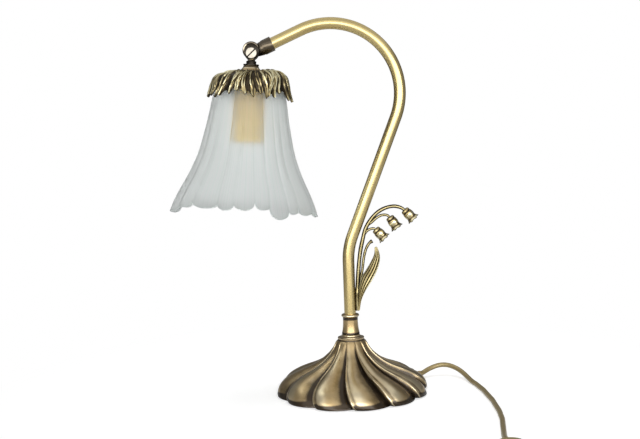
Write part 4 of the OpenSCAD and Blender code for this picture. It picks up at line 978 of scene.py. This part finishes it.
def crown():
    """Blades outside, back along the plain inner side to the flat plate, which has the nipple's hole."""
    columns = BLADES * 15
    a = circle(columns)
    s, back = np.linspace(0, 1, 130)[:, None], np.linspace(1, 0.12, 30)[:, None]
    outer, rib = crown_surface(s, a, 0)
    inner = crown_surface(back, a, CROWN_T)[0]
    plate = turned([[NIPPLE_R + 0.3, -crown_plate - CROWN_T], [NIPPLE_R + 0.3, -crown_plate]], columns)
    under = turned([[CUP_R - 0.6, -crown_plate - CROWN_T]], columns)
    rings = join([plate, outer, inner, under])
    # marks: dark between the blades (patina and painted shade); painted shade in a ring under the cup,
    # growing towards the top, and over the inner side; brighter on the high crests
    hollow = ease((0.8 - rib) / 0.9) * ease((s - 0.1) / 0.1) + 0.8 * bump(s - 0.07, 0.06) + 0.25 - 0.2 * s
    edge = np.clip(ease((rib - 0.8) / 0.5) * 1.25, 0, 1) * ease((s - 0.15) / 0.2)
    before, after = np.zeros((2, columns)), np.zeros((len(inner) + 1, columns))
    hollow = join([before, np.clip(hollow, 0, 1), after + 0.7])
    edge = join([before, edge, after])
    shaped("cast_leaf_crown", in_head(rings), ["leaf_crown"], "head", loop=True, sharp=70, hollow=hollow,
        edge=edge, olive=0.8)


crown()

GLASS_LINE_L = 152
glass_line = [(8, 0), (17, 0), (25.5, 0.4), (31.5, 3.2), (35.4, 8.2), (37.8, 15), (39.8, 23), (41.4, 31),
    (42.8, 39), (44.2, 47), (46, 56), (48, 65), (50.6, 76.5), (54, 88), (58.6, 100), (GLASS_R - 17.6, 113),
    (GLASS_R - 10.4, 127), (GLASS_R - 4, 141), (GLASS_R, GLASS_LINE_L)]

# Flutes of the front, each as (angle of its edge, depth of the rim there, depth of its tip);
# those of the back are evenly spaced between them
front_flutes = [(174, 145, 151), (210, 146, 142.5), (226.5, 136.5, 141), (251.5, 136, 141.5),
    (265, 135, 140.5), (282, 131.5, 139.5), (294, 137.5, 149), (311, 141.5, 144), (322, 138, 146),
    (345, 143, 150)]
BACK_FROM, BACK_SPAN = 369, 165
back_count = FLUTES - len(front_flutes)
back_tip = [142 + 1.5 * math.sin(math.radians(97 * (n + len(front_flutes)))) for n in range(back_count)]
back_flutes = [(BACK_FROM + BACK_SPAN * n / back_count, 136, tip) for n, tip in enumerate(back_tip)]
flute_list = np.array(front_flutes + back_flutes + [(front_flutes[0][0] + 360, *front_flutes[0][1:])])


def glass_surface(s, place, inset):
    """Fluted trumpet: each flute swells by a power of a sine that grows towards the mouth, and the rim
    is cut in one lobe for each flute, from the depth at its edges to the depth at its tip."""
    k = np.floor(place).astype(int)
    u = place - k
    a = np.radians(lerp(flute_list[k, 0], flute_list[k + 1, 0], u))
    p, g = curve(glass_line, s), slope(glass_line, s)
    flute = 1.1 * ease((s - 0.1) / 0.8) * (np.sin(math.pi * u) ** 0.6 - 1)
    notch = lerp(flute_list[k, 1], flute_list[k + 1, 1], u)
    reach = notch + (flute_list[k, 2] - notch) * np.sin(math.pi * u) ** 0.45
    edge = ease((s - 0.72) / 0.28) * (reach - GLASS_LINE_L)
    r = p[..., 0] + (flute - inset) * g[..., 1] + edge * 0.36
    d = (p[..., 1] + edge) * GLASS_L / GLASS_LINE_L + (inset - flute) * g[..., 0]
    return polar(r, a, -GLASS_D - d)


def shade():
    """Outside from the neck to the rim, back up inside, and the flat neck with the nipple's hole. Marks: the
    denser rim, and painted shade in the creases between the flutes, which fades towards the neck."""
    columns = FLUTES * 18
    place = np.linspace(0, FLUTES, columns, endpoint=False)[None, :]
    outer = glass_surface(np.linspace(0.04, 1, 120)[:, None], place, 0)
    inner = glass_surface(np.linspace(1, 0.12, 70)[:, None], place, GLASS_WALL)
    a = np.radians(np.interp(place[0], np.arange(FLUTES + 1), flute_list[:, 0]))
    hole, under_z = NIPPLE_R + 1, -GLASS_D - GLASS_WALL
    neck, under = polar(hole, a, np.array([[under_z], [-GLASS_D]])), polar(18, a, under_z)[None]
    down, up = np.linspace(0, 1, 120), np.linspace(1, 0, 70)
    rim = join([np.zeros(2), down**22, up**30, [0]])[:, None]
    low = join([np.zeros(2), down, np.zeros(71)])[:, None]
    u = place % 1
    # painted shade in the creases between the flutes, fading towards the neck
    seam = (bump(u, 0.05) + 0.6 * bump(u - 0.97, 0.05)) * (0.55 + 0.45 * np.sin(2.4 * np.floor(place)))
    seam = seam * ease(low / 0.5)
    rings = in_head(join([neck, outer, inner, under]))
    shaped("tulip_shade", rings, ["glass_shade"], "head", "frosted_glass", loop=True, sharp=60, rim=rim,
        seam=np.clip(seam, 0, 1))


shade()

# Lampholder, seen through the glass
HOLDER_R, CAP_D, CAP_L, SKIRT_D, SKIRT_L, SOCKET_R = 18, 34.65, 16, 50.7, 46, 13.6
cap_low, skirt_low = -CAP_D - CAP_L, -SKIRT_D - SKIRT_L
cap_top, thread, mouth = cap_low + CAP_L, NIPPLE_R + 0.05, SOCKET_R + 1.2
cap_line = [(thread, cap_top), (8, cap_top), (HOLDER_R - 4, cap_top - 3), (HOLDER_R - 1.2, cap_top - 7),
    (HOLDER_R - 0.4, cap_low + 3), (HOLDER_R - 0.4, cap_low), (HOLDER_R - 2.4, cap_low),
    (HOLDER_R - 2.4, cap_low + 4), (HOLDER_R - 5.4, cap_top - 7), (9, cap_top - 6), (thread, cap_top - 6)]
skirt_line = np.array([(HOLDER_R, SKIRT_L), (HOLDER_R, 12.6), (HOLDER_R - 0.7, 11.8), (HOLDER_R - 0.7, 10.2),
    (HOLDER_R, 9.4), (HOLDER_R, 0), (mouth, 0), (mouth, 2), (HOLDER_R - 2, 2),
    (HOLDER_R - 2, SKIRT_L)]) + [0, skirt_low]
amber = {"place": in_head, "body": "head", "slot": "holder_plastic"}
lathed("holder_dome", cap_line, "holder_cap", round_by=1.0, **amber)
lathed("holder_tube", skirt_line, "holder_skirt", round_by=0.5, **amber)


# ---------- room ----------
def room():
    """Pale floor and white surround. The camera sees the floor a little brighter than it is lit, and
    away from the lamp as plain white, so that only the shadow round the foot is left."""
    paper = Finish("paper_floor", roughness=0.9, specular_ior_level=0.0, emission_strength=1.0)
    rays = paper.node("LightPath", {}, {}, "Is Camera Ray")
    away = paper.node("VectorMath", {"operation": "LENGTH"}, {0: paper.place()}, 1)
    far = away.between(0.12, 0.42) * rays
    paper.set(base_color=paper.mix(far, (0.78, 0.78, 0.78), (0, 0, 0)))
    paper.set(emission_color=paper.mix(far, paper.mix(rays, (0, 0, 0), (0.57, 0.57, 0.57)), (1, 1, 1)))
    mesh = bpy.data.meshes.new("floor")
    mesh.from_pydata(polar(8, circle(64)[0], -0.0002).tolist(), [], [tuple(range(64))])
    mesh.materials.append(paper.material)
    placed("floor", mesh)

    world = bpy.data.worlds.new("surround")
    bpy.context.scene.world = world
    world.use_nodes = True
    sky = Sheet(world.node_tree)
    direct, glossy, through = (sky.node("LightPath", {}, {}, "Is %s Ray" % kind)
        for kind in ("Camera", "Glossy", "Transmission"))
    level = SURROUND + direct.most(glossy).most(through) * (1 - SURROUND)
    light = sky.node("Background", {}, {"Color": (1, 1, 1, 1), "Strength": level})
    output = world.node_tree.nodes.new("ShaderNodeOutputWorld")
    world.node_tree.links.new(light.socket, output.inputs["Surface"])


def lamp(name, at, aim, size, power):
    """Plain level area lamp at a place, aimed at another. Size is (width, height) in metres."""
    light = bpy.data.lights.new(name, "AREA")
    light.shape, light.size, light.size_y, light.energy = "RECTANGLE", *size, power
    turn = (Vector(aim) - Vector(at)).to_track_quat("-Z", "Y")
    placed(name, light).matrix_world = Matrix.Translation(at) @ turn.to_matrix().to_4x4()


def card(name, points, faces, level):
    """Grey card round the lamp that only gloss sees: it gives off an even white of that level."""
    glow = Finish(name, base_color=(0, 0, 0), roughness=1.0, specular_ior_level=0.0,
        emission_color=(level, level, level), emission_strength=1.0)
    mesh = bpy.data.meshes.new(name)
    mesh.from_pydata(points.tolist(), [], faces)
    mesh.materials.append(glow.material)
    made = placed(name, mesh)
    for kind in ("camera", "diffuse", "transmission", "volume_scatter", "shadow"):
        setattr(made, "visible_" + kind, False)


def side_card(name, azimuth, spread, distance, height, level):
    """Upright bent card. Azimuth 0 is in front of the lamp, 90 at its right."""
    a = np.radians(np.linspace(azimuth - spread / 2, azimuth + spread / 2, 13))
    foot = np.stack([distance * np.sin(a), -distance * np.cos(a), 0 * a], 1)
    faces = [(i, i + 1, i + 14, i + 13) for i in range(12)]
    card(name, join([foot, foot + [0, 0, height]]), faces, level)


SURROUND = 0.34
room()
lamp("front_softbox", (0.05, -2.3, 0.50), (0, 0, 0.2), (4.8, 1.1), 45)
lamp("top_softbox", (-0.1, 0.1, 2.2), (0, 0, 0.2), (1.4, 1.4), 14)
for side, turn in (("left", -1), ("right", 1)):
    side_card(side + "_card", turn * 82, 60, 0.7, 0.8, 0.28)
    side_card(side + "_rear_card", turn * 143, 74, 0.7, 0.8, 0.13)
top_corners = np.array([(-1.6, -0.7, 1.3), (1.6, -0.7, 1.3), (1.6, 1.6, 1.3), (-1.6, 1.6, 1.3)])
card("top_card", top_corners, [(0, 1, 2, 3)], 0.55)

bpy.context.scene.view_settings.view_transform = "Standard"
